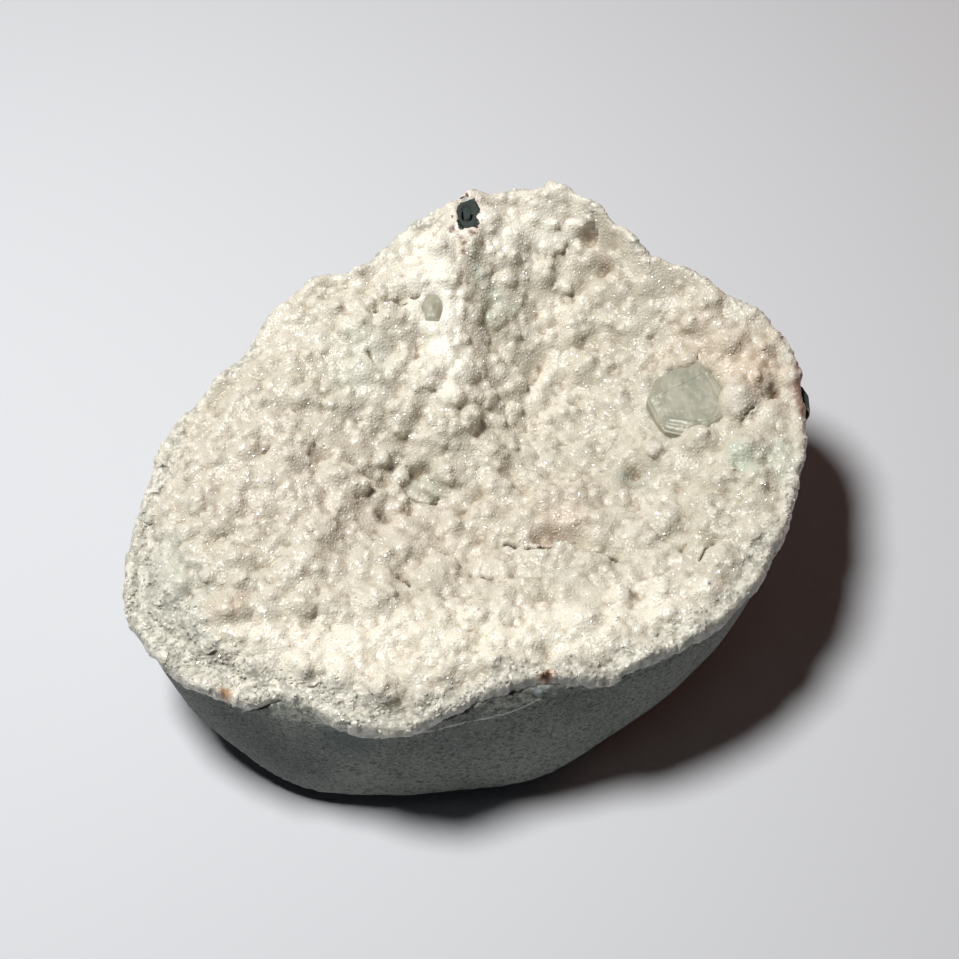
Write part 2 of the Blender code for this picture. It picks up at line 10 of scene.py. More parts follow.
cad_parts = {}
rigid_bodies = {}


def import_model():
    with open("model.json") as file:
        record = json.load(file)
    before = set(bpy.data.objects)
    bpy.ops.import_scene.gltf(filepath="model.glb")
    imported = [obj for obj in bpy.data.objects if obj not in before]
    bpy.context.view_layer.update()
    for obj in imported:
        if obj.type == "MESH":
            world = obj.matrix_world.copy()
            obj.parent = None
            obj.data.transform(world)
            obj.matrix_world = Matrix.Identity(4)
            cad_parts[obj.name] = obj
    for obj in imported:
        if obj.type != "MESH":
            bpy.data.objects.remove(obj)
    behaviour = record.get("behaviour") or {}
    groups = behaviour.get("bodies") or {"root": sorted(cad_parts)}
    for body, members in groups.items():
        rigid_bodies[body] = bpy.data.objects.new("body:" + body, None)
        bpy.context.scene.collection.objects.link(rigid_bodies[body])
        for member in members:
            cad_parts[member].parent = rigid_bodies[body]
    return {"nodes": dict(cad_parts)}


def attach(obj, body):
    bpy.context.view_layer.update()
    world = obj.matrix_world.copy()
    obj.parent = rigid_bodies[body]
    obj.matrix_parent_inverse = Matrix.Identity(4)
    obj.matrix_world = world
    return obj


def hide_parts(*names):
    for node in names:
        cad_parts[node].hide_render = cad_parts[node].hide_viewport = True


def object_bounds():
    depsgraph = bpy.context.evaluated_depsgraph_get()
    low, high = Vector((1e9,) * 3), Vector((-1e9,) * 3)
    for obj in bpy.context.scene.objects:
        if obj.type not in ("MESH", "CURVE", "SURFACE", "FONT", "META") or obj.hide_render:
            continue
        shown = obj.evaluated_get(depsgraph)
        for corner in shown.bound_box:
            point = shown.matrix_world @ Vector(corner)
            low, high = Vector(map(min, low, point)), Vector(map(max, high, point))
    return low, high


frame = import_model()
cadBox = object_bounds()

mm = 0.001
scene = bpy.context.scene


# Places and lengths are in millimetres: x to the right, y away from the viewer, z up.
camera = {
    "lookAt": (0.745, 1.279, 20.0),
    "elevation": 55.0,
    "distance": 300.0,
    "lens": 70.0,
}

light = {
    "keyDirection": (-0.37, 0.06, 1.0),
    "keyDistance": 440.0,
    "keySize": 112.0,
    "keyPower": 2.42,
    "keyColour": "#FFFCF7",
    "fillPlace": (330.0, 170.0, 110.0),
    "fillSize": 120.0,
    "fillPower": 0.085,
    "fillColour": "#FF9A63",
    "skyColour": "#E9EEF6",
    "skyStrength": 0.016,
    "floorColour": "#D3D7DE",
    "floorSize": 1600.0,
}

lining = {
    "softVoxel": 0.7,
    "softSteps": 4,
    "ledgeSize": 7.0,
    "ledgeHeight": 0.8,
    "sink": 1.35,
    # each round of lumps: spacing, least and most radius, how deep each is sunk as a share of its
    # radius, clearance from the rim, and the voxel that fuses the round
    "rounds": (
        (5.5, 2.0, 3.6, 0.52, 4.4, 0.54),
        (3.0, 0.9, 1.7, 0.38, 2.2, 0.44),
        (1.85, 0.45, 0.85, 0.3, 0.6, 0.37),
    ),
    "patchSize": 6.5,
    "smoothing": 0.15,
    "grainSize": 0.75,
    "grainHeight": 0.05,
    "chipSize": 1.7,
    "chipHeight": 0.5,
    "thinning": 0.975,
    "growth": 0.08,
    "overlap": 1.15,
    "overhang": 0.3,
    "mostTriangles": 190000,
    "seed": 5,
}

druse = {
    "spacing": 0.58,
    "width": (0.22, 0.46),
    "height": (0.12, 0.3),
    "lean": 0.35,
    "seed": 21,
}

brokenFlakes = {
    "spacing": 0.75,
    "width": (0.12, 0.5),
    "height": (0.1, 0.3),
    "lean": 0.9,
    "seed": 33,
}

basalt = {
    "voxel": 0.5,
    "growth": 0.02,
    "waveSize": 9.0,
    "waveHeight": 0.25,
    "roughSize": 1.1,
    "roughHeight": 0.06,
    "knobPlace": (52.8, 10.1, 28.0),
    "knobReach": 4.0,
    "knobPush": 0.7,
    "bandDepth": 3.2,
    "bandHeight": 0.3,
    "thinning": 0.9,
}

crystals = {
    "voxel": 0.18,
    "terraces": ((0.5, 0.3), (1.15, 0.2), (2.0, 0.12)),
    "wobble": 0.4,
}

# Window of bare basalt in the lining: its middle, half-lengths, the height of the basalt in its
# middle and how steeply that rises to the back.
window = {
    "place": (-1.25, 40.2),
    "halfLengths": (1.75, 2.7),
    "height": 40.5,
    "slope": 0.22,
}
platePlace = (34.1, 11.1)
plateReach = 6.3
smallPlace = (-6.9, 24.5)
smallReach = 2.9

# Crevices and pits between the lumps: the points they run through, half-width, how deep the
# lining dips there, and how deep the narrow crack along its middle is.
grooves = (
    (((-16.2, 23.2), (-14.0, 24.6), (-11.6, 25.9), (-9.2, 27.0)), 1.1, 1.6, 2.4),
    (((4.6, -14.0), (8.2, -14.9), (12.0, -14.4), (15.7, -12.7), (18.7, -15.6), (21.8, -16.2)), 1.4, 1.3, 1.2),
    (((-0.9, -19.6), (2.3, -20.7), (5.4, -20.0)), 1.2, 1.0, 1.2),
    (((-11.6, -21.2), (-9.6, -22.6), (-8.2, -24.0)), 1.1, 0.9, 0.9),
    (((-8.5, 20.6), (-8.9, 17.4), (-9.9, 15.5)), 1.3, 1.0, 0.4),
    (((-16.2, 15.0), (-17.0, 16.4)), 1.3, 1.2, 0.6),
    (((-29.6, 5.6), (-26.8, 6.0), (-24.6, 7.4)), 1.3, 1.1, 0.5),
    (((-14.9, -9.4), (-13.4, -8.9)), 1.7, 1.8, 0.6),
    (((-10.8, -3.4), (-8.6, -4.8), (-5.6, -4.6)), 1.4, 1.6, 1.0),
    (((-9.9, -8.6), (-9.6, -6.4)), 1.2, 1.2, 0.5),
    (((25.2, -1.6), (25.8, 1.6)), 1.8, 1.7, 0.6),
    (((18.4, 40.4), (21.0, 38.8)), 2.2, 0.9, 0.0),
    (((20.4, 35.6), (23.0, 37.4)), 2.2, 1.1, 0.0),
    (((16.4, 33.0), (20.4, 34.6)), 1.9, 1.5, 0.0),
    (((3.0, 33.0), (2.0, 27.0), (2.4, 21.0)), 1.5, 1.4, 0.3),
    (((11.2, 22.6), (9.6, 18.8)), 1.6, 1.2, 0.4),
    (((9.4, 30.6), (11.0, 27.0)), 1.5, 1.1, 0.3),
    (((47.6, 10.6), (48.2, 12.0)), 1.3, 1.6, 0.5),
    (((42.2, 5.8), (43.8, 7.4)), 1.0, 1.0, 0.8),
    (((34.4, -18.0), (36.4, -15.8)), 1.1, 1.3, 1.1),
    (((30.0, -13.4), (31.0, -12.4)), 1.2, 1.3, 0.6),
    (((31.4, -16.2), (32.0, -15.2)), 0.9, 0.9, 0.5),
    (((24.4, -24.6), (23.6, -23.2)), 1.1, 1.1, 0.8),
    (((-33.2, -1.8), (-32.2, -0.6)), 1.1, 1.1, 0.6),
    (((-35.4, -4.6), (-34.2, -4.0)), 1.0, 0.9, 0.6),
    (((-18.6, -7.8), (-17.8, -7.0)), 1.1, 1.1, 0.5),
    (((-39.6, -16.6), (-38.0, -15.8)), 1.0, 0.9, 0.4),
    (((14.0, 6.6), (17.2, 7.8)), 1.2, 1.0, 0.3),
    (((8.6, 1.0), (11.4, -0.2)), 1.3, 1.0, 0.3),
    (((-22.6, -12.4), (-20.2, -12.8)), 1.0, 0.8, 0.4),
    (((0.4, -4.6), (-1.8, -6.6)), 1.3, 1.1, 0.4),
    (((29.0, 23.6), (30.6, 25.6)), 1.2, 1.0, 0.4),
    (((36.4, 18.4), (36.4, 20.2)), 1.0, 1.0, 0.5),
    (((-43.6, -27.0), (-42.2, -25.6)), 1.3, 1.2, 0.2),
)


def linearColour(hexValue):
    shares = [int(hexValue[i : i + 2], 16) / 255 for i in (1, 3, 5)]
    return tuple(s / 12.92 if s <= 0.04045 else ((s + 0.055) / 1.055) ** 2.4 for s in shares) + (1.0,)


def addNode(tree, kind, settings=None, inputs=None):
    node = tree.nodes.new(kind)
    for name, value in (settings or {}).items():
        setattr(node, name, value)
    for name, value in (inputs or {}).items():
        if isinstance(value, bpy.types.NodeSocket):
            tree.links.new(value, node.inputs[name])
        else:
            node.inputs[name].default_value = value
    return node


def newMaterial(name):
    material = bpy.data.materials.new(name)
    material.use_nodes = True
    tree = material.node_tree
    tree.nodes.clear()
    return material, tree


# Mesh helpers

def weldedCopy(node, name):
    # a CAD node's mesh is loose triangles, so the copy is merged
    mesh = frame["nodes"][node].data.copy()
    mesh.name = name
    shape = bmesh.new()
    shape.from_mesh(mesh)
    bmesh.ops.remove_doubles(shape, verts=shape.verts, dist=1e-6)
    shape.to_mesh(mesh)
    shape.free()
    mesh.materials.clear()
    piece = bpy.data.objects.new(name, mesh)
    scene.collection.objects.link(piece)
    return piece


def settle(piece):
    # turns what the modifiers make into the piece's own plain mesh
    bpy.context.view_layer.update()
    graph = bpy.context.evaluated_depsgraph_get()
    made = bpy.data.meshes.new_from_object(piece.evaluated_get(graph))
    piece.modifiers.clear()
    old = piece.data
    piece.data = made
    made.name = piece.name
    bpy.data.meshes.remove(old)
    return piece


def remesh(piece, voxel):
    fuse = piece.modifiers.new("fuse", "REMESH")
    fuse.mode = "VOXEL"
    fuse.voxel_size = voxel * mm
    fuse.use_smooth_shade = True
    return settle(piece)


def readPoints(mesh):
    flat = np.empty(len(mesh.vertices) * 3, np.float32)
    mesh.vertices.foreach_get("co", flat)
    return flat.reshape(-1, 3).astype(float) / mm


def readNormals(mesh):
    flat = np.empty(len(mesh.vertices) * 3, np.float32)
    mesh.vertex_normals.foreach_get("vector", flat)
    return flat.reshape(-1, 3).astype(float)


def readEdges(mesh):
    flat = np.empty(len(mesh.edges) * 2, np.int32)
    mesh.edges.foreach_get("vertices", flat)
    return flat.reshape(-1, 2)


def writePoints(mesh, points):
    # nothing stands out of the box of the solids
    low, high = np.array(cadBox[0]), np.array(cadBox[1])
    inside = np.clip(points * mm, low, high)
    mesh.vertices.foreach_set("co", inside.astype(np.float32).ravel())
    mesh.update()


def neighbourMean(values, edges):
    count = len(values)
    start, end = edges.T
    degree = np.bincount(start, minlength=count) + np.bincount(end, minlength=count)
    columns = [
        np.bincount(start, column[end], count) + np.bincount(end, column[start], count)
        for column in values.T
    ]
    return np.stack(columns, axis=1) / np.maximum(degree, 1)[:, None]


def smoothed(points, edges, steps, share=1.0):
    for _ in range(steps):
        points = points + share * (neighbourMean(points, edges) - points)
    return points


def storeField(mesh, name, values):
    field = mesh.attributes.get(name) or mesh.attributes.new(name, "FLOAT", "POINT")
    field.data.foreach_set("value", np.asarray(values, np.float32))


def storeLayer(mesh, name, layer):
    field = mesh.attributes.new(name, "FLOAT_COLOR", "POINT")
    field.data.foreach_set("color", layer.astype(np.float32).ravel())


def soft(values, low, high):
    # smooth step from 0 at low to 1 at high
    share = np.clip((values - low) / (high - low), 0, 1)
    return share * share * (3 - 2 * share)


def wavy(points, size, octaves=2):
    return np.array([noise.fractal(Vector(p), 1.0, 2.0, octaves) for p in points / size])


def shifted(points, size, reach):
    # points pushed about, which makes a mark's edge ragged
    return points + reach * np.array([noise.noise_vector(Vector(p)) for p in points / size])


def chipped(points, size, slope, height):
    # flat-faced chips, each cell tilted and raised its own way
    offsets = np.empty(len(points))
    for i, point in enumerate(points / size):
        near = noise.voronoi(Vector(point))[1][0]
        way = noise.cell_vector(near * 37.0)
        offsets[i] = (Vector(point) - near).dot(way - Vector((0.5, 0.5, 0.5))) * slope + way.x * height
    return offsets


def triangleCount(piece):
    return sum(len(face.vertices) - 2 for face in piece.data.polygons)


# The stone's rim, by heading round the middle: how far out it is, and how high the seam is
# between the lining and the basalt.

def readRim(bins=96):
    points = readPoints(frame["nodes"]["chalcedony_crust"].data)
    heading = np.arctan2(points[:, 1], points[:, 0])
    reach = np.hypot(points[:, 0], points[:, 1])
    slot = ((heading / (2 * math.pi) + 0.5) * bins).astype(int) % bins
    rows = []
    for k in range(bins):
        members = np.nonzero(slot == k)[0]
        if len(members):
            best = members[reach[members].argmax()]
            rows.append((heading[best], reach[best], points[best, 2]))
    return np.array(sorted(rows)).T


rimHeading, rimReach, rimSeam = readRim()


def headingOf(points):
    return np.arctan2(points[:, 1], points[:, 0])


def insideRim(points):
    reach = np.interp(headingOf(points), rimHeading, rimReach, period=2 * math.pi)
    return reach - np.hypot(points[:, 0], points[:, 1])


def aboveSeam(points):
    return points[:, 2] - np.interp(headingOf(points), rimHeading, rimSeam, period=2 * math.pi)


def awayFrom(points, place):
    return np.hypot(points[:, 0] - place[0], points[:, 1] - place[1])


def inWindow(points):
    # 0 in the middle of the window, 1 at its edge, more outside
    away = (points[:, :2] - np.array(window["place"])) / np.array(window["halfLengths"])
    return np.hypot(away[:, 0], away[:, 1])


# Width of the broken edge of the lining: heading in degrees round the stone, and width
brokenWidths = ((-180, 3.5), (-168, 4.0), (-152, 10.5), (-138, 10.0), (-122, 6.5), (-108, 6.5), (-95, 5.5),
                (-70, 4.5), (-45, 5.0), (-25, 4.5), (-10, 2.2), (20, 1.6), (90, 1.6), (150, 2.0), (180, 3.5))


def brokenShare(points):
    width = np.interp(np.degrees(headingOf(points)), *zip(*brokenWidths))
    ragged = wavy(points, 5.0) * 2.4
    return 1 - soft(insideRim(points) + ragged, 0.55 * width, width)


def grooveShape(points, kind):
    # at each point: how deep the dips go, how deep the cracks in them go, or how near a dip's middle is
    moved = shifted(points, 2.4, 0.7)[:, :2]
    ragged = 0.25 * wavy(points, 0.9)
    patchy = soft(wavy(points, 3.0), -0.25, 0.15)
    most = np.zeros(len(points))
    for run, halfWidth, dip, crack in grooves:
        run = np.array(run)
        away = np.full(len(points), np.inf)
        for start, end in zip(run, run[1:]):
            side = end - start
            share = np.clip((moved - start) @ side / (side @ side), 0, 1)
            near = start + share[:, None] * side
            away = np.minimum(away, np.hypot(*(moved - near).T))
        shapes = {
            "dip": dip * (1 - soft(away, 0.3 * halfWidth, 1.5 * halfWidth)),
            "crack": crack * patchy * (1 - soft(away + ragged, 0.1, 0.5 * halfWidth)),
            "middle": 1 - soft(away, 0.3 * halfWidth, 0.75 * halfWidth),
        }
        most = np.maximum(most, shapes[kind])
    return most


# Geometry Nodes

def newTree(name, inputs):
    tree = bpy.data.node_groups.new(name, "GeometryNodeTree")
    tree.interface.new_socket("Geometry", in_out="INPUT", socket_type="NodeSocketGeometry")
    for label, kind in inputs.items():
        tree.interface.new_socket(label, in_out="INPUT", socket_type="NodeSocket" + kind)
    tree.interface.new_socket("Geometry", in_out="OUTPUT", socket_type="NodeSocketGeometry")
    return tree, addNode(tree, "NodeGroupInput").outputs


def useTree(piece, tree, values):
    step = piece.modifiers.new(tree.name, "NODES")
    step.node_group = tree
    for item in tree.interface.items_tree:
        if item.item_type == "SOCKET" and item.in_out == "INPUT" and item.name in values:
            step[item.identifier] = values[item.name]
    return settle(piece)


def makeLumpTree():
    # round lumps at the places given, which a remesh then fuses to the lining
    tree, given = newTree("chalcedony lumps", {"Places": "Object", "Material": "Material"})
    places = addNode(tree, "GeometryNodeObjectInfo", None, {"Object": given["Places"]})
    radius = addNode(tree, "GeometryNodeInputNamedAttribute", {"data_type": "FLOAT"}, {"Name": "radius"})
    ball = addNode(tree, "GeometryNodeMeshIcoSphere", None, {"Radius": 1.0, "Subdivisions": 2})
    placed = addNode(tree, "GeometryNodeInstanceOnPoints", None, {
        "Points": places.outputs["Geometry"], "Instance": ball.outputs["Mesh"],
        "Scale": radius.outputs["Attribute"],
    })
    real = addNode(tree, "GeometryNodeRealizeInstances", None, {"Geometry": placed.outputs[0]})
    joined = addNode(tree, "GeometryNodeJoinGeometry", None, {"Geometry": given["Geometry"]})
    tree.links.new(real.outputs[0], joined.inputs["Geometry"])
    finished = addNode(tree, "GeometryNodeSetMaterial", None, {
        "Geometry": joined.outputs[0], "Material": given["Material"],
    })
    addNode(tree, "NodeGroupOutput", None, {"Geometry": finished.outputs[0]})
    return tree


def addQuartzPoint(tree):
    # a six-sided point, half of it below its own middle, so that it stands in the lining
    point = addNode(tree, "GeometryNodeMeshCone", {"fill_type": "NGON"}, {
        "Vertices": 6, "Radius Top": 0.0, "Radius Bottom": 1.0, "Depth": 1.0,
    })
    return addNode(tree, "GeometryNodeTransform", None, {
        "Geometry": point.outputs["Mesh"], "Translation": (0.0, 0.0, -0.5),
    }).outputs[0]


def addBrokenFlake(tree):
    return addNode(tree, "GeometryNodeMeshIcoSphere", None, {"Radius": 1.0, "Subdivisions": 1}).outputs["Mesh"]


def makeStrewnTree(name, addShape):
    # small shapes strewn over a surface where the field allows, each of its own size and lean
    tree, given = newTree(name, {
        "Field": "String", "Spacing": "Float", "Least Width": "Float", "Most Width": "Float",
        "Least Height": "Float", "Most Height": "Float", "Lean": "Float", "Seed": "Int",
        "Material": "Material",
    })
    where = addNode(tree, "GeometryNodeInputNamedAttribute", {"data_type": "FLOAT"}, {"Name": given["Field"]})
    strewn = addNode(tree, "GeometryNodeDistributePointsOnFaces", {"distribute_method": "POISSON"}, {
        "Mesh": given["Geometry"], "Distance Min": given["Spacing"], "Density Max": 4e7,
        "Density Factor": where.outputs["Attribute"], "Seed": given["Seed"],
    })
    width, depth, height = (
        addNode(tree, "FunctionNodeRandomValue", {"data_type": "FLOAT"}, {
            2: given["Least " + side], 3: given["Most " + side], "Seed": seed,
        }).outputs[1]
        for side, seed in (("Width", 3), ("Width", 4), ("Height", 5))
    )
    size = addNode(tree, "ShaderNodeCombineXYZ", None, {0: width, 1: depth, 2: height})
    back = addNode(tree, "ShaderNodeMath", {"operation": "MULTIPLY"}, {0: given["Lean"], 1: -1.0})
    least = addNode(tree, "ShaderNodeCombineXYZ", None, {0: back.outputs[0], 1: back.outputs[0], 2: -math.pi})
    most = addNode(tree, "ShaderNodeCombineXYZ", None, {0: given["Lean"], 1: given["Lean"], 2: math.pi})
    lean = addNode(tree, "FunctionNodeRandomValue", {"data_type": "FLOAT_VECTOR"}, {
        0: least.outputs[0], 1: most.outputs[0], "Seed": 6,
    })
    turn = addNode(tree, "FunctionNodeEulerToRotation", None, {0: lean.outputs[0]})
    turned = addNode(tree, "FunctionNodeRotateRotation", {"rotation_space": "LOCAL"}, {
        0: strewn.outputs["Rotation"], 1: turn.outputs[0],
    })
    placed = addNode(tree, "GeometryNodeInstanceOnPoints", None, {
        "Points": strewn.outputs["Points"], "Instance": addShape(tree),
        "Rotation": turned.outputs[0], "Scale": size.outputs[0],
    })
    real = addNode(tree, "GeometryNodeRealizeInstances", None, {"Geometry": placed.outputs[0]})
    finished = addNode(tree, "GeometryNodeSetMaterial", None, {
        "Geometry": real.outputs[0], "Material": given["Material"],
    })
    addNode(tree, "NodeGroupOutput", None, {"Geometry": finished.outputs[0]})
    return tree


# Marks painted on the stone. Each has its middle or its two ends, its radius, its softness,
# its colour and its strength.

def markLayer(points, *groups):
    # marks laid one over the other at each point: their colour, and how much of the ground they hide.
    # A group is its marks, the size and reach of their raggedness, and its height share: below 1 it
    # counts heights less, so that a mark stays where its surface is uneven.
    colour, bare = np.zeros((len(points), 3)), np.ones(len(points))
    for marks, size, reach, heightShare in groups:
        squeeze = np.array((1.0, 1.0, heightShare))
        moved = shifted(points, size, reach) * squeeze
        for ends, radius, softness, tint, strength in marks:
            start, side = np.array(ends[0]) * squeeze, np.subtract(ends[-1], ends[0]) * squeeze
            share = np.clip((moved - start) @ side / max(side @ side, 1e-9), 0, 1)
            away = np.linalg.norm(moved - start - share[:, None] * side, axis=1)
            hides = strength * (1 - soft(away, radius * (1 - softness), radius))
            colour = colour * (1 - hides)[:, None] + np.outer(hides, linearColour(tint)[:3])
            bare = bare * (1 - hides)
    return np.column_stack([colour, 1 - bare])


def paintLayer(tree, name, colour):
    # a layer of marks from the piece's own attribute, over the colour
    layer = addNode(tree, "ShaderNodeAttribute", {"attribute_name": name})
    ground = mixed(tree, layer.outputs["Alpha"], colour, (0.0, 0.0, 0.0, 1.0))
    return mixed(tree, 1.0, ground, layer.outputs["Color"], "ADD")


def paintMarks(tree, colour, place, marks):
    for ends, radius, softness, tint, strength in marks:
        ends = [Vector(end) for end in ends]
        start = ends[0] * mm
        away = addNode(tree, "ShaderNodeVectorMath", {"operation": "DISTANCE"}, {0: place, 1: start})
        if len(ends) > 1:
            side = ends[1] * mm - start
            offset = addNode(tree, "ShaderNodeVectorMath", {"operation": "SUBTRACT"}, {0: place, 1: start})
            along = addNode(tree, "ShaderNodeVectorMath", {"operation": "DOT_PRODUCT"}, {
                0: offset.outputs[0], 1: side / side.length_squared,
            })
            share = addNode(tree, "ShaderNodeMath", {"operation": "MAXIMUM", "use_clamp": True}, {
                0: along.outputs["Value"], 1: 0.0,
            })
            reached = addNode(tree, "ShaderNodeVectorMath", {"operation": "SCALE"}, {
                0: side, "Scale": share.outputs[0],
            })
            away = addNode(tree, "ShaderNodeVectorMath", {"operation": "DISTANCE"}, {
                0: offset.outputs[0], 1: reached.outputs[0],
            })
        mask = addNode(tree, "ShaderNodeMapRange", {"interpolation_type": "SMOOTHSTEP"}, {
            "Value": away.outputs["Value"], "From Min": radius * mm, "From Max": radius * (1 - softness) * mm,
            "To Min": 0.0, "To Max": strength,
        })
        mixed = addNode(tree, "ShaderNodeMix", {"data_type": "RGBA"}, {
            0: mask.outputs[0], 6: colour, 7: linearColour(tint),
        })
        colour = mixed.outputs[2]
    return colour


def wobbled(tree, place, size, reach):
    # the place, pushed about by noise, which makes a mark's edge ragged
    random = addNode(tree, "ShaderNodeTexNoise", None, {
        "Vector": place, "Scale": 1 / (size * mm), "Detail": 3.0, "Roughness": 0.6,
    })
    centred = addNode(tree, "ShaderNodeVectorMath", {"operation": "SUBTRACT"}, {
        0: random.outputs["Color"], 1: (0.5, 0.5, 0.5),
    })
    push = addNode(tree, "ShaderNodeVectorMath", {"operation": "SCALE"}, {
        0: centred.outputs[0], "Scale": 2 * reach * mm,
    })
    moved = addNode(tree, "ShaderNodeVectorMath", {"operation": "ADD"}, {0: place, 1: push.outputs[0]})
    return moved.outputs[0]


def noiseTone(tree, place, size, detail, low, high, most=1.0):
    # noise of a real grain size, spread so that low gives 0 and high gives the most
    grain = addNode(tree, "ShaderNodeTexNoise", None, {
        "Vector": place, "Scale": 1 / (size * mm), "Detail": detail, "Roughness": 0.65,
    })
    spread = addNode(tree, "ShaderNodeMapRange", None, {
        "Value": grain.outputs["Fac"], "From Min": low, "From Max": high, "To Max": most,
    })
    return spread.outputs[0]


liningColoursAndPaintedLight = (
    # broad, faint colourings of the lining; some of them are painted shade and painted light
    # painted shade: the left of the lining darker
    (((-38.0, -6.0, 31.0), (-20.0, -8.0, 29.0)), 20.0, 0.9, "#CFC8BB", 0.6),
    # painted shade: the middle towards the front darker
    (((-6.0, -12.0, 26.0), (18.0, -6.0, 25.0)), 13.0, 0.9, "#D2C9BA", 0.5),
    (((44.5, 15.0, 33.0),), 9.0, 0.9, "#D9BFA6", 0.5),
    (((36.0, 20.0, 31.0),), 10.0, 0.9, "#D8C6B4", 0.45),
    (((47.0, -3.0, 31.0),), 7.0, 0.8, "#CCD3C4", 0.55),
    (((41.0, -3.2, 31.0),), 3.5, 0.8, "#BCCDBB", 0.6),
    (((13.0, -10.7, 26.0),), 6.0, 0.9, "#DCC4B0", 0.4),
    (((-8.5, -1.5, 24.4),), 4.0, 0.8, "#B4B8A8", 0.6),
    (((-6.0, -4.7, 24.2), (-9.6, -4.2, 24.2)), 1.6, 0.8, "#6C725A", 0.8),
    (((25.6, -0.6, 26.0),), 3.4, 0.8, "#94A29B", 0.75),
    # painted shade in the hollow below the back rim
    (((19.3, 40.0, 34.0), (22.0, 34.0, 31.5)), 4.8, 0.8, "#A89C8A", 0.75),
    (((12.0, 30.0, 31.0), (8.0, 12.0, 25.0)), 9.0, 0.9, "#F0EADC", 0.5),
    (((-18.0, 15.0, 34.0),), 9.0, 0.9, "#DDE2D6", 0.55),
    # painted light: the back rim whiter
    (((4.0, 39.0, 39.0), (16.0, 41.0, 37.0)), 8.0, 0.9, "#F6F3E8", 0.9),
    # painted light: the ridge whiter
    (((-8.0, 34.0, 38.0), (-3.0, 13.0, 32.5)), 7.5, 0.9, "#F7F5EA", 0.9),
    (((0.0, 33.0, 37.0), (4.0, 27.0, 32.0)), 3.0, 0.8, "#C3CDBF", 0.5),
    (((-36.0, -28.5, 30.0),), 4.0, 0.9, "#E0C6AE", 0.4),
    (((-46.0, -30.0, 26.0), (-48.0, -18.0, 27.0)), 7.0, 0.8, "#C9CCC2", 0.6),
    (((-42.5, -20.7, 30.5), (-40.0, -34.0, 27.0)), 3.0, 0.8, "#C6C9C0", 0.5),
    (((-30.0, -36.0, 28.5), (32.0, -28.0, 29.0)), 10.0, 0.9, "#F6F2E4", 0.7),
)

edgeMarks = (
    # rust on the edge of the lining, and a rust-red band with a white edge at the right
    (((10.4, -39.4, 28.6),), 1.9, 0.8, "#A9713F", 0.8),
    (((10.2, -39.7, 28.4),), 1.0, 0.5, "#38190C", 0.95),
    (((-36.4, -41.0, 25.6),), 1.8, 0.8, "#B07A45", 0.75),
    (((51.4, 14.6, 30.2), (52.6, 6.0, 29.2)), 2.3, 0.6, "#7E5040", 0.8),
    (((50.0, 18.0, 33.5), (50.2, 9.0, 33.0)), 0.45, 0.6, "#F1EAE0", 0.8),
)

liningMarks = (
    # pits and small dark dots
    (((-14.7, -9.3, 25.0),), 1.6, 0.6, "#7D7263", 0.75),
    (((47.9, 11.3, 31.4),), 1.5, 0.5, "#6A5038", 0.8),
    (((-2.3, 43.5, 41.6),), 1.5, 0.6, "#8A4A2C", 0.85),
    (((-2.4, 36.0, 40.0),), 0.85, 0.5, "#5E2A20", 0.9),
    (((-1.5, 34.8, 39.7),), 0.75, 0.5, "#6B3226", 0.85),
    (((-0.5, 36.4, 40.0),), 0.7, 0.5, "#5E2A20", 0.9),
    (((-3.7, 37.0, 40.3),), 0.65, 0.5, "#5E2A20", 0.85),
    (((-2.0, 33.4, 39.4),), 0.55, 0.5, "#7A4235", 0.8),
    (((-48.6, -2.6, 29.8),), 0.5, 0.5, "#28221E", 0.95),
    (((34.9, -24.0, 29.2),), 1.2, 0.5, "#F6F3EA", 0.7),
    (((34.9, -24.0, 29.2),), 0.45, 0.5, "#1E1916", 0.95),
    (((23.9, -24.4, 27.3),), 1.0, 0.6, "#6E624A", 0.75),
)

liningScratches = (
    (((-27.7, 22.4, 36.3), (-18.3, 17.0, 34.9)), 0.22, 0.7, "#F7F4EA", 0.6),
    (((-8.7, 11.2, 32.0), (0.8, 6.7, 27.2)), 0.2, 0.7, "#B7AA97", 0.6),
)

basaltMarks = (
    # white veins and scratches, blue-grey specks, and a worn knob at the right
    (((-1.25, 40.2, 40.1),), 3.6, 0.3, "#24312F", 0.95),
    (((-19.0, -46.0, 20.0),), 6.0, 0.8, "#4E615F", 0.5),
    # painted shade: the left side of the basalt darker
    (((-44.0, -26.0, 14.0), (-30.0, -42.0, 12.0)), 13.0, 0.9, "#3F4543", 0.5),
    (((-7.8, -45.0, 21.7), (-4.0, -44.5, 22.6)), 0.26, 0.5, "#C9CDC4", 0.8),
    (((-4.0, -44.5, 22.6), (4.2, -43.0, 23.4)), 0.26, 0.5, "#D5D8D0", 0.85),
    (((4.2, -43.0, 23.4), (8.0, -41.8, 24.4)), 0.3, 0.5, "#D5D8D0", 0.85),
    (((8.0, -41.8, 24.4), (12.3, -40.5, 25.4)), 0.26, 0.5, "#D5D8D0", 0.75),
    (((24.5, -36.3, 24.8), (28.6, -34.2, 24.9)), 0.26, 0.5, "#C9CDC4", 0.8),
    (((-2.8, -45.4, 6.6), (-1.0, -45.2, 6.3)), 0.15, 0.5, "#C2C5BE", 0.7),
    (((11.0, -42.6, 10.1), (12.4, -42.1, 9.3)), 0.15, 0.5, "#C2C5BE", 0.7),
    (((9.2, -40.6, 26.0),), 0.8, 0.9, "#B4C2CC", 0.7),
    (((6.8, -41.4, 26.2),), 0.7, 0.9, "#A9B7C1", 0.6),
    (((10.6, -40.0, 26.6),), 0.5, 0.9, "#B4C2CC", 0.6),
    (((53.0, 12.0, 27.0), (53.0, 8.0, 27.0)), 3.4, 0.5, "#1C2827", 0.9),
    (((53.2, 8.9, 28.0),), 0.7, 0.5, "#B9C0BD", 0.85),
)


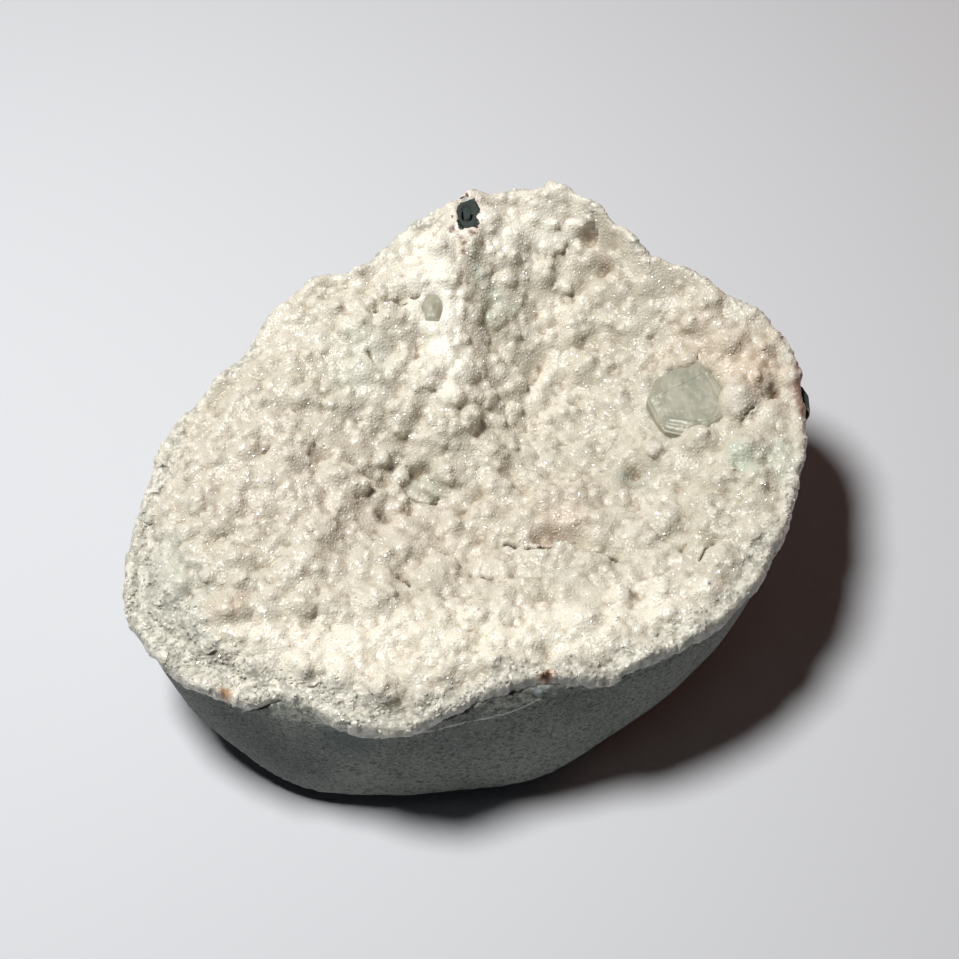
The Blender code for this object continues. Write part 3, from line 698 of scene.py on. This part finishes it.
def seamShare(tree):
    # 1 above the seam of lining and basalt and 0 below it
    above = addNode(tree, "ShaderNodeAttribute", {"attribute_name": "aboveSeam"})
    return addNode(tree, "ShaderNodeMapRange", None, {
        "Value": above.outputs["Fac"], "From Min": 0.25, "From Max": 0.4,
    }).outputs[0]


def mixed(tree, share, first, second, blend="MIX"):
    return addNode(tree, "ShaderNodeMix", {"data_type": "RGBA", "blend_type": blend}, {
        0: share, 6: first, 7: second,
    }).outputs[2]


def edgeColour(tree, place):
    # the lining's broken edge: white and grey grains, clear in places
    tone = noiseTone(tree, place, 1.3, 2.0, 0.4, 0.6)
    return mixed(tree, tone, linearColour("#A3A49B"), linearColour("#DFDDD3"))


def windowColour(tree, colour):
    # bare basalt in a ragged window, with a thin red-brown edge and a paler halo
    away = addNode(tree, "ShaderNodeAttribute", {"attribute_name": "window"})
    for far, near, tint in ((1.85, 1.25, "#EFE6DC"), (1.11, 1.03, "#7C5548"), (1.03, 0.95, "#24312F")):
        share = addNode(tree, "ShaderNodeMapRange", None, {
            "Value": away.outputs["Fac"], "From Min": far, "From Max": near,
        })
        colour = mixed(tree, share.outputs[0], colour, linearColour(tint))
    return colour


def liningColour(tree, place):
    # cream chalcedony: broad colourings with painted shade and painted light in places, cloudy grains, painted light
    # on the crests of lumps, warm painted shade in creases and hollows, darker painted shade in cracks, and a whiter
    # broken edge
    base = mixed(tree, noiseTone(tree, place, 14.0, 1.0, 0.35, 0.68), linearColour("#CCC7B7"), linearColour("#DCD7C9"))
    greyed = mixed(tree, noiseTone(tree, place, 3.2, 2.0, 0.45, 0.3, 0.6), base, linearColour("#BEB7A7"))
    clouded = mixed(tree, noiseTone(tree, place, 2.2, 2.0, 0.5, 0.72, 0.6), greyed, linearColour("#E8E4DA"))
    colouredAndPaintedLit = paintLayer(tree, "tints", clouded)
    # painted light: the crests of lumps are made whiter
    crest = addNode(tree, "ShaderNodeAttribute", {"attribute_name": "crest"})
    paintedCrestLightShare = addNode(tree, "ShaderNodeMath", {"operation": "MULTIPLY"}, {0: crest.outputs["Fac"], 1: 0.22})
    crestsPaintedLit = mixed(tree, paintedCrestLightShare.outputs[0], colouredAndPaintedLit, linearColour("#F4F0E6"))
    # painted shade: creases and hollows are darkened towards warm grey-brown
    crease = addNode(tree, "ShaderNodeAttribute", {"attribute_name": "crease"})
    shaded = mixed(tree, crease.outputs["Fac"], crestsPaintedLit, linearColour("#B7A899"), "MULTIPLY")
    # painted shade: the carved cracks are darkened
    pit = addNode(tree, "ShaderNodeAttribute", {"attribute_name": "pit"})
    crackShaded = mixed(tree, pit.outputs["Fac"], shaded, linearColour("#8A7F70"), "MULTIPLY")
    broken = addNode(tree, "ShaderNodeAttribute", {"attribute_name": "broken"})
    edgeShare = addNode(tree, "ShaderNodeMath", {"operation": "MULTIPLY"}, {0: broken.outputs["Fac"], 1: 0.75})
    edged = mixed(tree, edgeShare.outputs[0], crackShaded, edgeColour(tree, place))
    return windowColour(tree, paintLayer(tree, "marks", edged))


def makeLiningMaterial():
    # chalcedony grown as a crust: waxy, lets light in a little, sugary where quartz grew on it
    material, tree = newMaterial("chalcedonyGrownAsCrust")
    place = addNode(tree, "ShaderNodeTexCoord").outputs["Object"]
    sugar = addNode(tree, "ShaderNodeTexVoronoi", {"feature": "F1"}, {
        "Vector": place, "Scale": 1 / (0.5 * mm), "Randomness": 1.0,
    })
    bump = addNode(tree, "ShaderNodeBump", None, {
        "Height": sugar.outputs["Distance"], "Strength": 0.7, "Distance": 0.12 * mm,
    })
    shader = addNode(tree, "ShaderNodeBsdfPrincipled", None, {
        "Base Color": liningColour(tree, place), "Roughness": 0.4, "IOR": 1.54,
        "Subsurface Weight": 0.4, "Subsurface Radius": (1.0, 0.9, 0.75), "Subsurface Scale": 1.5 * mm,
        "Normal": bump.outputs[0],
    })
    addNode(tree, "ShaderNodeOutputMaterial", None, {"Surface": shader.outputs[0]})
    return material


def makeDruseMaterial():
    # quartz grown as tiny points: glassy faces over the cream lining that shows through them
    material, tree = newMaterial("quartzGrownAsPoints")
    place = addNode(tree, "ShaderNodeTexCoord").outputs["Object"]
    shader = addNode(tree, "ShaderNodeBsdfPrincipled", None, {
        "Base Color": mixed(tree, 0.12, liningColour(tree, place), linearColour("#FFFDF8")),
        "Roughness": 0.13, "IOR": 1.54,
    })
    addNode(tree, "ShaderNodeOutputMaterial", None, {"Surface": shader.outputs[0]})
    return material


def makeBasaltMaterial():
    # basalt, trimmed with a saw and a hammer: dark, dull and fine-grained, with paler and darker grains, and painted
    # shade on the faces turned down
    material, tree = newMaterial("basaltTrimmed")
    place = addNode(tree, "ShaderNodeTexCoord").outputs["Object"]
    base = mixed(tree, noiseTone(tree, place, 16.0, 4.0, 0.35, 0.68), linearColour("#7A7E78"), linearColour("#94978F"))
    # its grains lie flat, so the pattern is squeezed in height; 0.4 mm grains are drawn a little coarse
    flat = addNode(tree, "ShaderNodeMapping", None, {"Vector": place, "Scale": (0.95, 0.95, 1.15)}).outputs[0]
    darker = mixed(tree, noiseTone(tree, flat, 0.7, 3.0, 0.52, 0.36, 0.7), base, linearColour("#343937"))
    paler = mixed(tree, noiseTone(tree, flat, 0.45, 2.0, 0.55, 0.66, 0.6), darker, linearColour("#B4BAB3"))
    specked = mixed(tree, noiseTone(tree, flat, 0.32, 1.0, 0.4, 0.33, 0.6), paler, linearColour("#262B29"))
    marked = paintMarks(tree, specked, wobbled(tree, place, 1.8, 0.4), basaltMarks)
    fringed = mixed(tree, seamShare(tree), marked, edgeColour(tree, place))
    # painted shade: faces turned down are darkened towards near black
    facing = addNode(tree, "ShaderNodeSeparateXYZ", None, {0: addNode(tree, "ShaderNodeNewGeometry").outputs["True Normal"]})
    under = addNode(tree, "ShaderNodeMapRange", None, {"Value": facing.outputs["Z"], "From Min": -0.45, "From Max": -0.7})
    shadedBeneath = mixed(tree, under.outputs[0], fringed, linearColour("#1D201F"))
    rough = addNode(tree, "ShaderNodeTexNoise", None, {
        "Vector": place, "Scale": 1 / (0.5 * mm), "Detail": 4.0, "Roughness": 0.7,
    })
    bump = addNode(tree, "ShaderNodeBump", None, {
        "Height": rough.outputs["Fac"], "Strength": 0.8, "Distance": 0.12 * mm,
    })
    shader = addNode(tree, "ShaderNodeBsdfPrincipled", None, {
        "Base Color": shadedBeneath, "Roughness": 0.8, "IOR": 1.5, "Normal": bump.outputs[0],
    })
    addNode(tree, "ShaderNodeOutputMaterial", None, {"Surface": shader.outputs[0]})
    return material


def makeGreenMaterial():
    # pale green crystal, cleaved: pearly layers that light goes into, glassy where it is clean
    material, tree = newMaterial("paleGreenCrystalCleaved")
    place = addNode(tree, "ShaderNodeTexCoord").outputs["Object"]
    drawn = addNode(tree, "ShaderNodeMapping", None, {
        "Vector": place, "Rotation": (0.0, 0.0, 0.5), "Scale": (1.0, 0.5, 1.0),
    }).outputs[0]
    milky = mixed(tree, noiseTone(tree, drawn, 2.2, 4.0, 0.4, 0.62), linearColour("#B2B2A0"), linearColour("#CAC8B7"))
    inner = addNode(tree, "ShaderNodeAttribute", {"attribute_name": "rimDepth"})
    streakShare = addNode(tree, "ShaderNodeMath", {"operation": "MULTIPLY"}, {
        0: noiseTone(tree, drawn, 1.6, 4.0, 0.5, 0.66, 0.6),
        1: addNode(tree, "ShaderNodeMapRange", None, {
            "Value": inner.outputs["Fac"], "From Min": 1.2, "From Max": 2.6,
        }).outputs[0],
    })
    streaked = mixed(tree, streakShare.outputs[0], milky, linearColour("#93A095"))
    bump = addNode(tree, "ShaderNodeBump", None, {
        "Height": noiseTone(tree, drawn, 1.3, 4.0, 0.3, 0.7), "Strength": 0.35, "Distance": 0.1 * mm,
    })
    shader = addNode(tree, "ShaderNodeBsdfPrincipled", None, {
        "Base Color": streaked, "Roughness": 0.38, "IOR": 1.53, "Transmission Weight": 0.3,
        "Subsurface Weight": 0.3, "Subsurface Radius": (0.85, 1.0, 0.8), "Subsurface Scale": 1.5 * mm,
        "Normal": bump.outputs[0],
    })
    depths = addNode(tree, "ShaderNodeVolumeAbsorption", None, {
        "Color": linearColour("#D3DFCD"), "Density": 60.0,
    })
    addNode(tree, "ShaderNodeOutputMaterial", None, {"Surface": shader.outputs[0], "Volume": depths.outputs[0]})
    return material


def thinHidden(piece, hidden, share):
    # the faces that the other pieces hide are thinned, so that those in view can be finer
    group = piece.vertex_groups.new(name="hidden")
    group.add([int(i) for i in np.nonzero(hidden)[0]], 1.0, "REPLACE")
    thin = piece.modifiers.new("thin", "DECIMATE")
    thin.ratio = 1 - share * hidden.mean()
    thin.vertex_group = "hidden"
    settle(piece)
    piece.vertex_groups.clear()
    return piece


def setMaterial(piece, material):
    piece.data.materials.clear()
    piece.data.materials.append(material)


def lumpField(points, normals, clearance, number):
    # where lumps of one round may grow, thicker in some patches than in others
    field = soft(normals[:, 2], 0.0, 0.3) * soft(insideRim(points), clearance, clearance + 0.8)
    field *= soft(inWindow(points), 1.4, 1.7) * soft(awayFrom(points, smallPlace), smallReach, smallReach + 0.4)
    field *= soft(awayFrom(points, platePlace) + 0.5 * wavy(points, 3.0), plateReach, plateReach + 0.4)
    field *= 1 - 0.6 * grooveShape(points, "middle")
    field *= 0.3 + 0.7 * soft(wavy(points + 20.0 * number, lining["patchSize"]), -0.25, 0.15)
    return field * (1 - 0.8 * brokenShare(points))


def makeLumpPlaces(mesh, spacing, least, most, sink, clearance, number):
    # a shaken triangular grid seen from above, set down on the top of the lining; the draws are
    # the same however fine the lining's mesh is
    random = np.random.default_rng(lining["seed"] + number)
    low, high = np.array(cadBox[0]) / mm, np.array(cadBox[1]) / mm
    across, deep = np.meshgrid(np.arange(low[0], high[0], spacing), np.arange(low[1], high[1], 0.87 * spacing))
    across = across + 0.5 * spacing * (np.arange(len(across)) % 2)[:, None]
    spots = np.column_stack([across.ravel(), deep.ravel()])
    spots += random.uniform(-0.35, 0.35, spots.shape) * spacing
    radii = random.uniform(least, most, len(spots))
    chance = random.uniform(0.0, 1.0, len(spots))
    points, normals = readPoints(mesh), readNormals(mesh)
    upper = np.nonzero(normals[:, 2] > 0.1)[0]
    finder = kdtree.KDTree(len(upper))
    for i in upper:
        finder.insert((points[i, 0], points[i, 1], 0.0), int(i))
    finder.balance()
    near = np.array([finder.find((x, y, 0.0))[1] for x, y in spots])
    grown = chance < lumpField(points[near], normals[near], clearance, number)
    tops = np.column_stack([spots, points[near, 2]])
    middles = (tops - normals[near] * (sink * radii)[:, None])[grown] * mm
    places = bpy.data.meshes.new("lumpPlaces")
    places.from_pydata(middles.tolist(), [], [])
    storeField(places, "radius", radii[grown] * mm)
    piece = bpy.data.objects.new("lumpPlaces", places)
    scene.collection.objects.link(piece)
    return piece


def makeLining(material):
    piece = weldedCopy("chalcedony_crust", "chalcedonyLining")
    remesh(piece, lining["softVoxel"])
    points, edges = readPoints(piece.data), readEdges(piece.data)
    open = soft(inWindow(points), 1.2, 2.2)[:, None]
    for _ in range(lining["softSteps"]):
        points = points + 0.5 * open * (neighbourMean(points, edges) - points)
    writePoints(piece.data, points)
    normals = readNormals(piece.data)
    upper = soft(normals[:, 2], 0.05, 0.35) * soft(insideRim(points), 0.5, 3.0) * open[:, 0]
    upper *= soft(awayFrom(points, platePlace), 5.0, 7.0)
    ledges = wavy(points, lining["ledgeSize"]) * lining["ledgeHeight"] - lining["sink"]
    points[:, 2] += (ledges - grooveShape(points, "dip")) * upper
    writePoints(piece.data, points)
    tree = makeLumpTree()
    for number, (spacing, least, most, sink, clearance, voxel) in enumerate(lining["rounds"]):
        places = makeLumpPlaces(piece.data, spacing, least, most, sink, clearance, number)
        useTree(piece, tree, {"Places": places, "Material": material})
        bpy.data.objects.remove(places)
        remesh(piece, voxel)
        print("round of lumps", number + 1, "fused:", triangleCount(piece), "triangles")
    points, edges, normals = readPoints(piece.data), readEdges(piece.data), readNormals(piece.data)
    points = smoothed(points, edges, 1, lining["smoothing"])
    crack = grooveShape(points, "crack") * soft(normals[:, 2], 0.0, 0.4)
    points[:, 2] -= crack
    broken = brokenShare(points)
    grain = wavy(points, lining["grainSize"]) * lining["grainHeight"]
    chips = chipped(points, lining["chipSize"], 0.9, 0.8) * lining["chipHeight"]
    outer = 1 - soft(-normals[:, 2], 0.3, 0.8)
    lip = np.where(insideRim(points) < 3.0, 0.55 + 0.45 * soft(aboveSeam(points), 0.3, 1.5), 1.0)
    lift = (grain * (1 + broken) + chips * broken * lip) * outer + lining["growth"] * lip
    points = points + normals * lift[:, None]
    # the edge laps over the seam in lobes, so that no gap shows
    low = (1 - soft(aboveSeam(points), 0.1, 1.3)) * (1 - soft(insideRim(points), 1.5, 2.5))
    points[:, 2] -= lining["overlap"] * low * np.maximum(1 + 0.9 * wavy(points * (1, 1, 0), 3.0), 0.75)
    points[:, :2] += lining["overhang"] * (low / np.hypot(points[:, 0], points[:, 1]))[:, None] * points[:, :2]
    # painted shade for the cracks, by how deep each is carved
    storeField(piece.data, "pit", soft(crack, 0.2, 1.2))
    writePoints(piece.data, points)
    hidden = (readNormals(piece.data)[:, 2] < -0.35) & (insideRim(points) > 3.0)
    thinHidden(piece, hidden, lining["thinning"])
    fit = piece.modifiers.new("fit", "DECIMATE")
    fit.ratio = min(1.0, lining["mostTriangles"] / triangleCount(piece))
    settle(piece)
    points, edges, normals = readPoints(piece.data), readEdges(piece.data), readNormals(piece.data)
    near, far = smoothed(points, edges, 5), smoothed(points, edges, 30)
    nearDepth = ((near - points) * normals).sum(axis=1)
    farDepth = ((far - points) * normals).sum(axis=1)
    broken = brokenShare(points)
    # painted shade in creases and hollows, and painted light on crests, by how far each point lies below or above its
    # smoothed neighbours
    storeField(piece.data, "crease", np.maximum(soft(nearDepth, 0.02, 0.28), 0.9 * soft(farDepth, 0.15, 1.0)))
    storeField(piece.data, "crest", np.maximum(soft(-nearDepth, 0.02, 0.2), soft(-farDepth, 0.1, 0.8)))
    storeField(piece.data, "broken", broken)
    storeField(piece.data, "window", np.clip(inWindow(points) + 0.8 * wavy(points, 1.5, 3), 0, 3))
    # the lining's colourings, painted shade and painted light among them
    storeLayer(piece.data, "tints", markLayer(points, (liningColoursAndPaintedLight, 4.0, 3.0, 0.6)))
    storeLayer(piece.data, "marks", markLayer(
        points, (liningMarks, 1.2, 0.5, 0.3), (edgeMarks, 1.2, 0.8, 0.6), (liningScratches, 3.0, 0.25, 0.3)))
    outside = soft(normals[:, 2], -0.25, 0.1) * soft(inWindow(points), 1.1, 1.4)
    outside *= soft(awayFrom(points, platePlace), 5.8, 6.2)
    grown = outside * (1 - 0.95 * broken) * soft(insideRim(points), 0.2, 0.8)
    storeField(piece.data, "druseFront", grown * (points[:, 1] < 0.5))
    storeField(piece.data, "druseBack", grown * (points[:, 1] >= 0.5))
    patchy = soft(wavy(points, 2.6), -0.15, 0.25)
    storeField(piece.data, "flaky", broken * patchy * soft(normals[:, 2], 0.0, 0.3) * (points[:, 1] < -8.0)
               * (aboveSeam(points) > 0.8))
    setMaterial(piece, material)
    # broken faces stay flat, grown ones are round
    ends = np.empty(len(piece.data.loops), np.int32)
    piece.data.loops.foreach_get("vertex_index", ends)
    starts = np.empty(len(piece.data.polygons), np.int32)
    piece.data.polygons.foreach_get("loop_start", starts)
    piece.data.polygons.foreach_set("use_smooth", broken[ends[starts]] < 0.5)
    print("chalcedony lining:", triangleCount(piece), "triangles")
    return piece


def strew(name, field, ground, tree, sizes, material):
    piece = bpy.data.objects.new(name, ground.data.copy())
    scene.collection.objects.link(piece)
    useTree(piece, tree, {
        "Field": field, "Spacing": sizes["spacing"] * mm,
        "Least Width": sizes["width"][0] * mm, "Most Width": sizes["width"][1] * mm,
        "Least Height": sizes["height"][0] * mm, "Most Height": sizes["height"][1] * mm,
        "Lean": sizes["lean"], "Seed": sizes["seed"], "Material": material,
    })
    writePoints(piece.data, readPoints(piece.data))
    setMaterial(piece, material)
    piece.data.shade_flat()
    print(name, triangleCount(piece), "triangles")
    return piece


def makeBasalt(material):
    piece = weldedCopy("basalt_matrix", "basaltBody")
    remesh(piece, basalt["voxel"])
    points, edges = readPoints(piece.data), readEdges(piece.data)
    points = smoothed(points, edges, 1, 0.4)
    normals = readNormals(piece.data)
    wave = wavy(points, basalt["waveSize"]) * basalt["waveHeight"]
    rough = wavy(points, basalt["roughSize"], 3) * basalt["roughHeight"]
    # a knob stands out at the right
    knob = 1 - soft(np.linalg.norm(points - np.array(basalt["knobPlace"]), axis=1), 1.0, basalt["knobReach"])
    points[:, 0] += basalt["knobPush"] * knob
    # a rough band of holes and chips above the vein at the front
    band = soft(aboveSeam(points), -basalt["bandDepth"] - 0.6, -basalt["bandDepth"])
    band *= soft(points[:, 0], -9.0, -5.0) * soft(-points[:, 1], 20.0, 30.0)
    holes = chipped(points, 1.1, 0.6, -1.0) * basalt["bandHeight"] * band
    standing = soft(points[:, 2], 0.4, 2.0)
    lift = (wave + rough + holes + basalt["growth"]) * standing
    lifted = points + normals * lift[:, None]
    lifted[:, 2] = np.where(points[:, 2] < 0.4, 0.0, lifted[:, 2])
    # the basalt comes up into the window of the lining
    bare = (normals[:, 2] > 0.2) * (1 - soft(inWindow(points) + 0.2 * wavy(points, 1.3), 1.15, 1.45))
    rise = window["height"] + window["slope"] * (points[:, 1] - window["place"][1]) + 0.15 * wavy(points, 1.4)
    lifted[:, 2] += bare * np.maximum(rise - lifted[:, 2], 0)
    writePoints(piece.data, lifted)
    hidden = (readNormals(piece.data)[:, 2] > 0.3) & (insideRim(points) > 3.0)
    hidden &= inWindow(points) > 1.6
    hidden |= points[:, 2] < 0.3
    thinHidden(piece, hidden, basalt["thinning"])
    points = readPoints(piece.data)
    ragged = aboveSeam(points) + 0.9 * wavy(points, 2.0, 4)
    storeField(piece.data, "aboveSeam", np.where(insideRim(points) < 3.0, np.clip(ragged, -5, 5), -5.0))
    setMaterial(piece, material)
    piece.data.shade_smooth()
    print("basalt body:", triangleCount(piece), "triangles")
    return piece


def makeCrystal(node, name, material, stretch, rise, stepShare):
    # a cleaved crystal: thin layers break off in steps towards its rim
    piece = weldedCopy(node, name)
    corners = readPoints(piece.data)
    middle = (corners.min(axis=0) + corners.max(axis=0)) / 2
    writePoints(piece.data, middle + (corners - middle) * np.array(stretch) + np.array((0.0, 0.0, rise)))
    remesh(piece, crystals["voxel"])
    points, edges, normals = readPoints(piece.data), readEdges(piece.data), readNormals(piece.data)
    away = points - middle
    slots = 60
    slot = ((np.arctan2(away[:, 1], away[:, 0]) / (2 * math.pi) + 0.5) * slots).astype(int) % slots
    reach = np.zeros(slots)
    np.maximum.at(reach, slot, np.hypot(away[:, 0], away[:, 1]))
    depth = reach[slot] - np.hypot(away[:, 0], away[:, 1])
    ragged = depth + crystals["wobble"] * wavy(points, 1.6)
    drop = 0.04 * wavy(points, 0.9)
    for width, step in crystals["terraces"]:
        drop += step * stepShare * (1 - soft(ragged, width - 0.08, width + 0.08))
    points[:, 2] -= drop * soft(normals[:, 2], 0.5, 0.8)
    writePoints(piece.data, smoothed(points, edges, 1, 0.15))
    storeField(piece.data, "rimDepth", depth)
    setMaterial(piece, material)
    piece.data.shade_smooth()
    return piece


def makeFloor():
    half = light["floorSize"] * mm / 2
    mesh = bpy.data.meshes.new("paleFloor")
    mesh.from_pydata([(-half, -half, 0), (half, -half, 0), (half, half, 0), (-half, half, 0)], [], [(0, 1, 2, 3)])
    floor = bpy.data.objects.new("paleFloor", mesh)
    scene.collection.objects.link(floor)
    material, tree = newMaterial("paperMatt")
    shader = addNode(tree, "ShaderNodeBsdfPrincipled", None, {
        "Base Color": linearColour(light["floorColour"]), "Roughness": 0.9, "Specular IOR Level": 0.1,
    })
    addNode(tree, "ShaderNodeOutputMaterial", None, {"Surface": shader.outputs[0]})
    mesh.materials.append(material)


def addAreaLight(name, place, target, size, power, colour):
    lamp = bpy.data.lights.new(name, "AREA")
    lamp.shape = "DISK"
    lamp.size = size * mm
    lamp.energy = power
    lamp.color = linearColour(colour)[:3]
    thing = bpy.data.objects.new(name, lamp)
    thing.location = Vector(place) * mm
    thing.rotation_euler = (Vector(target) * mm - thing.location).to_track_quat("-Z", "Y").to_euler()
    scene.collection.objects.link(thing)


def makeStudio():
    makeFloor()
    target = Vector(camera["lookAt"])
    key = Vector(light["keyDirection"]).normalized() * light["keyDistance"] + target
    addAreaLight("keyLight", key, target, light["keySize"], light["keyPower"], light["keyColour"])
    addAreaLight("fillLight", light["fillPlace"], target, light["fillSize"], light["fillPower"], light["fillColour"])
    world = bpy.data.worlds.new("studio")
    world.use_nodes = True
    sky = world.node_tree.nodes["Background"]
    sky.inputs["Color"].default_value = linearColour(light["skyColour"])
    sky.inputs["Strength"].default_value = light["skyStrength"]
    scene.world = world
    lens = bpy.data.cameras.new("camera")
    lens.lens = camera["lens"]
    lens.sensor_width = 36.0
    lens.clip_start = 0.01
    view = bpy.data.objects.new("camera", lens)
    rise = math.radians(camera["elevation"])
    back = Vector((0.0, -math.cos(rise), math.sin(rise))) * camera["distance"]
    view.location = (target + back) * mm
    view.rotation_euler = (-back).to_track_quat("-Z", "Y").to_euler()
    scene.collection.objects.link(view)
    scene.camera = view
    scene.view_settings.view_transform = "Standard"


makeStudio()
print("studio ready")

liningMaterial = makeLiningMaterial()
druseMaterial = makeDruseMaterial()
greenMaterial = makeGreenMaterial()

liningPiece = makeLining(liningMaterial)
druseTree = makeStrewnTree("druse of quartz points", addQuartzPoint)
flakeTree = makeStrewnTree("flakes of the broken edge", addBrokenFlake)
frontDruse = strew("druseFront", "druseFront", liningPiece, druseTree, druse, druseMaterial)
backDruse = strew("druseBack", "druseBack", liningPiece, druseTree, druse, druseMaterial)
edgeFlakes = strew("edgeFlakes", "flaky", liningPiece, flakeTree, brokenFlakes, druseMaterial)
basaltPiece = makeBasalt(makeBasaltMaterial())
platePiece = makeCrystal("green_crystal_plate", "greenPlate", greenMaterial, (1.07, 1.07, 1.0), 0.1, 1.0)
smallPiece = makeCrystal("small_green_crystal", "smallGreenCrystal", greenMaterial, (1.25, 1.4, 0.8), 0.5, 0.1)
print("pieces made")

for piece, node, replaced in (
    (liningPiece, "chalcedony_crust", True),
    (frontDruse, "chalcedony_crust", False),
    (backDruse, "chalcedony_crust", False),
    (edgeFlakes, "chalcedony_crust", False),
    (basaltPiece, "basalt_matrix", True),
    (platePiece, "green_crystal_plate", True),
    (smallPiece, "small_green_crystal", True),
):
    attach(piece, "root")
    if replaced:
        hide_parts(node)
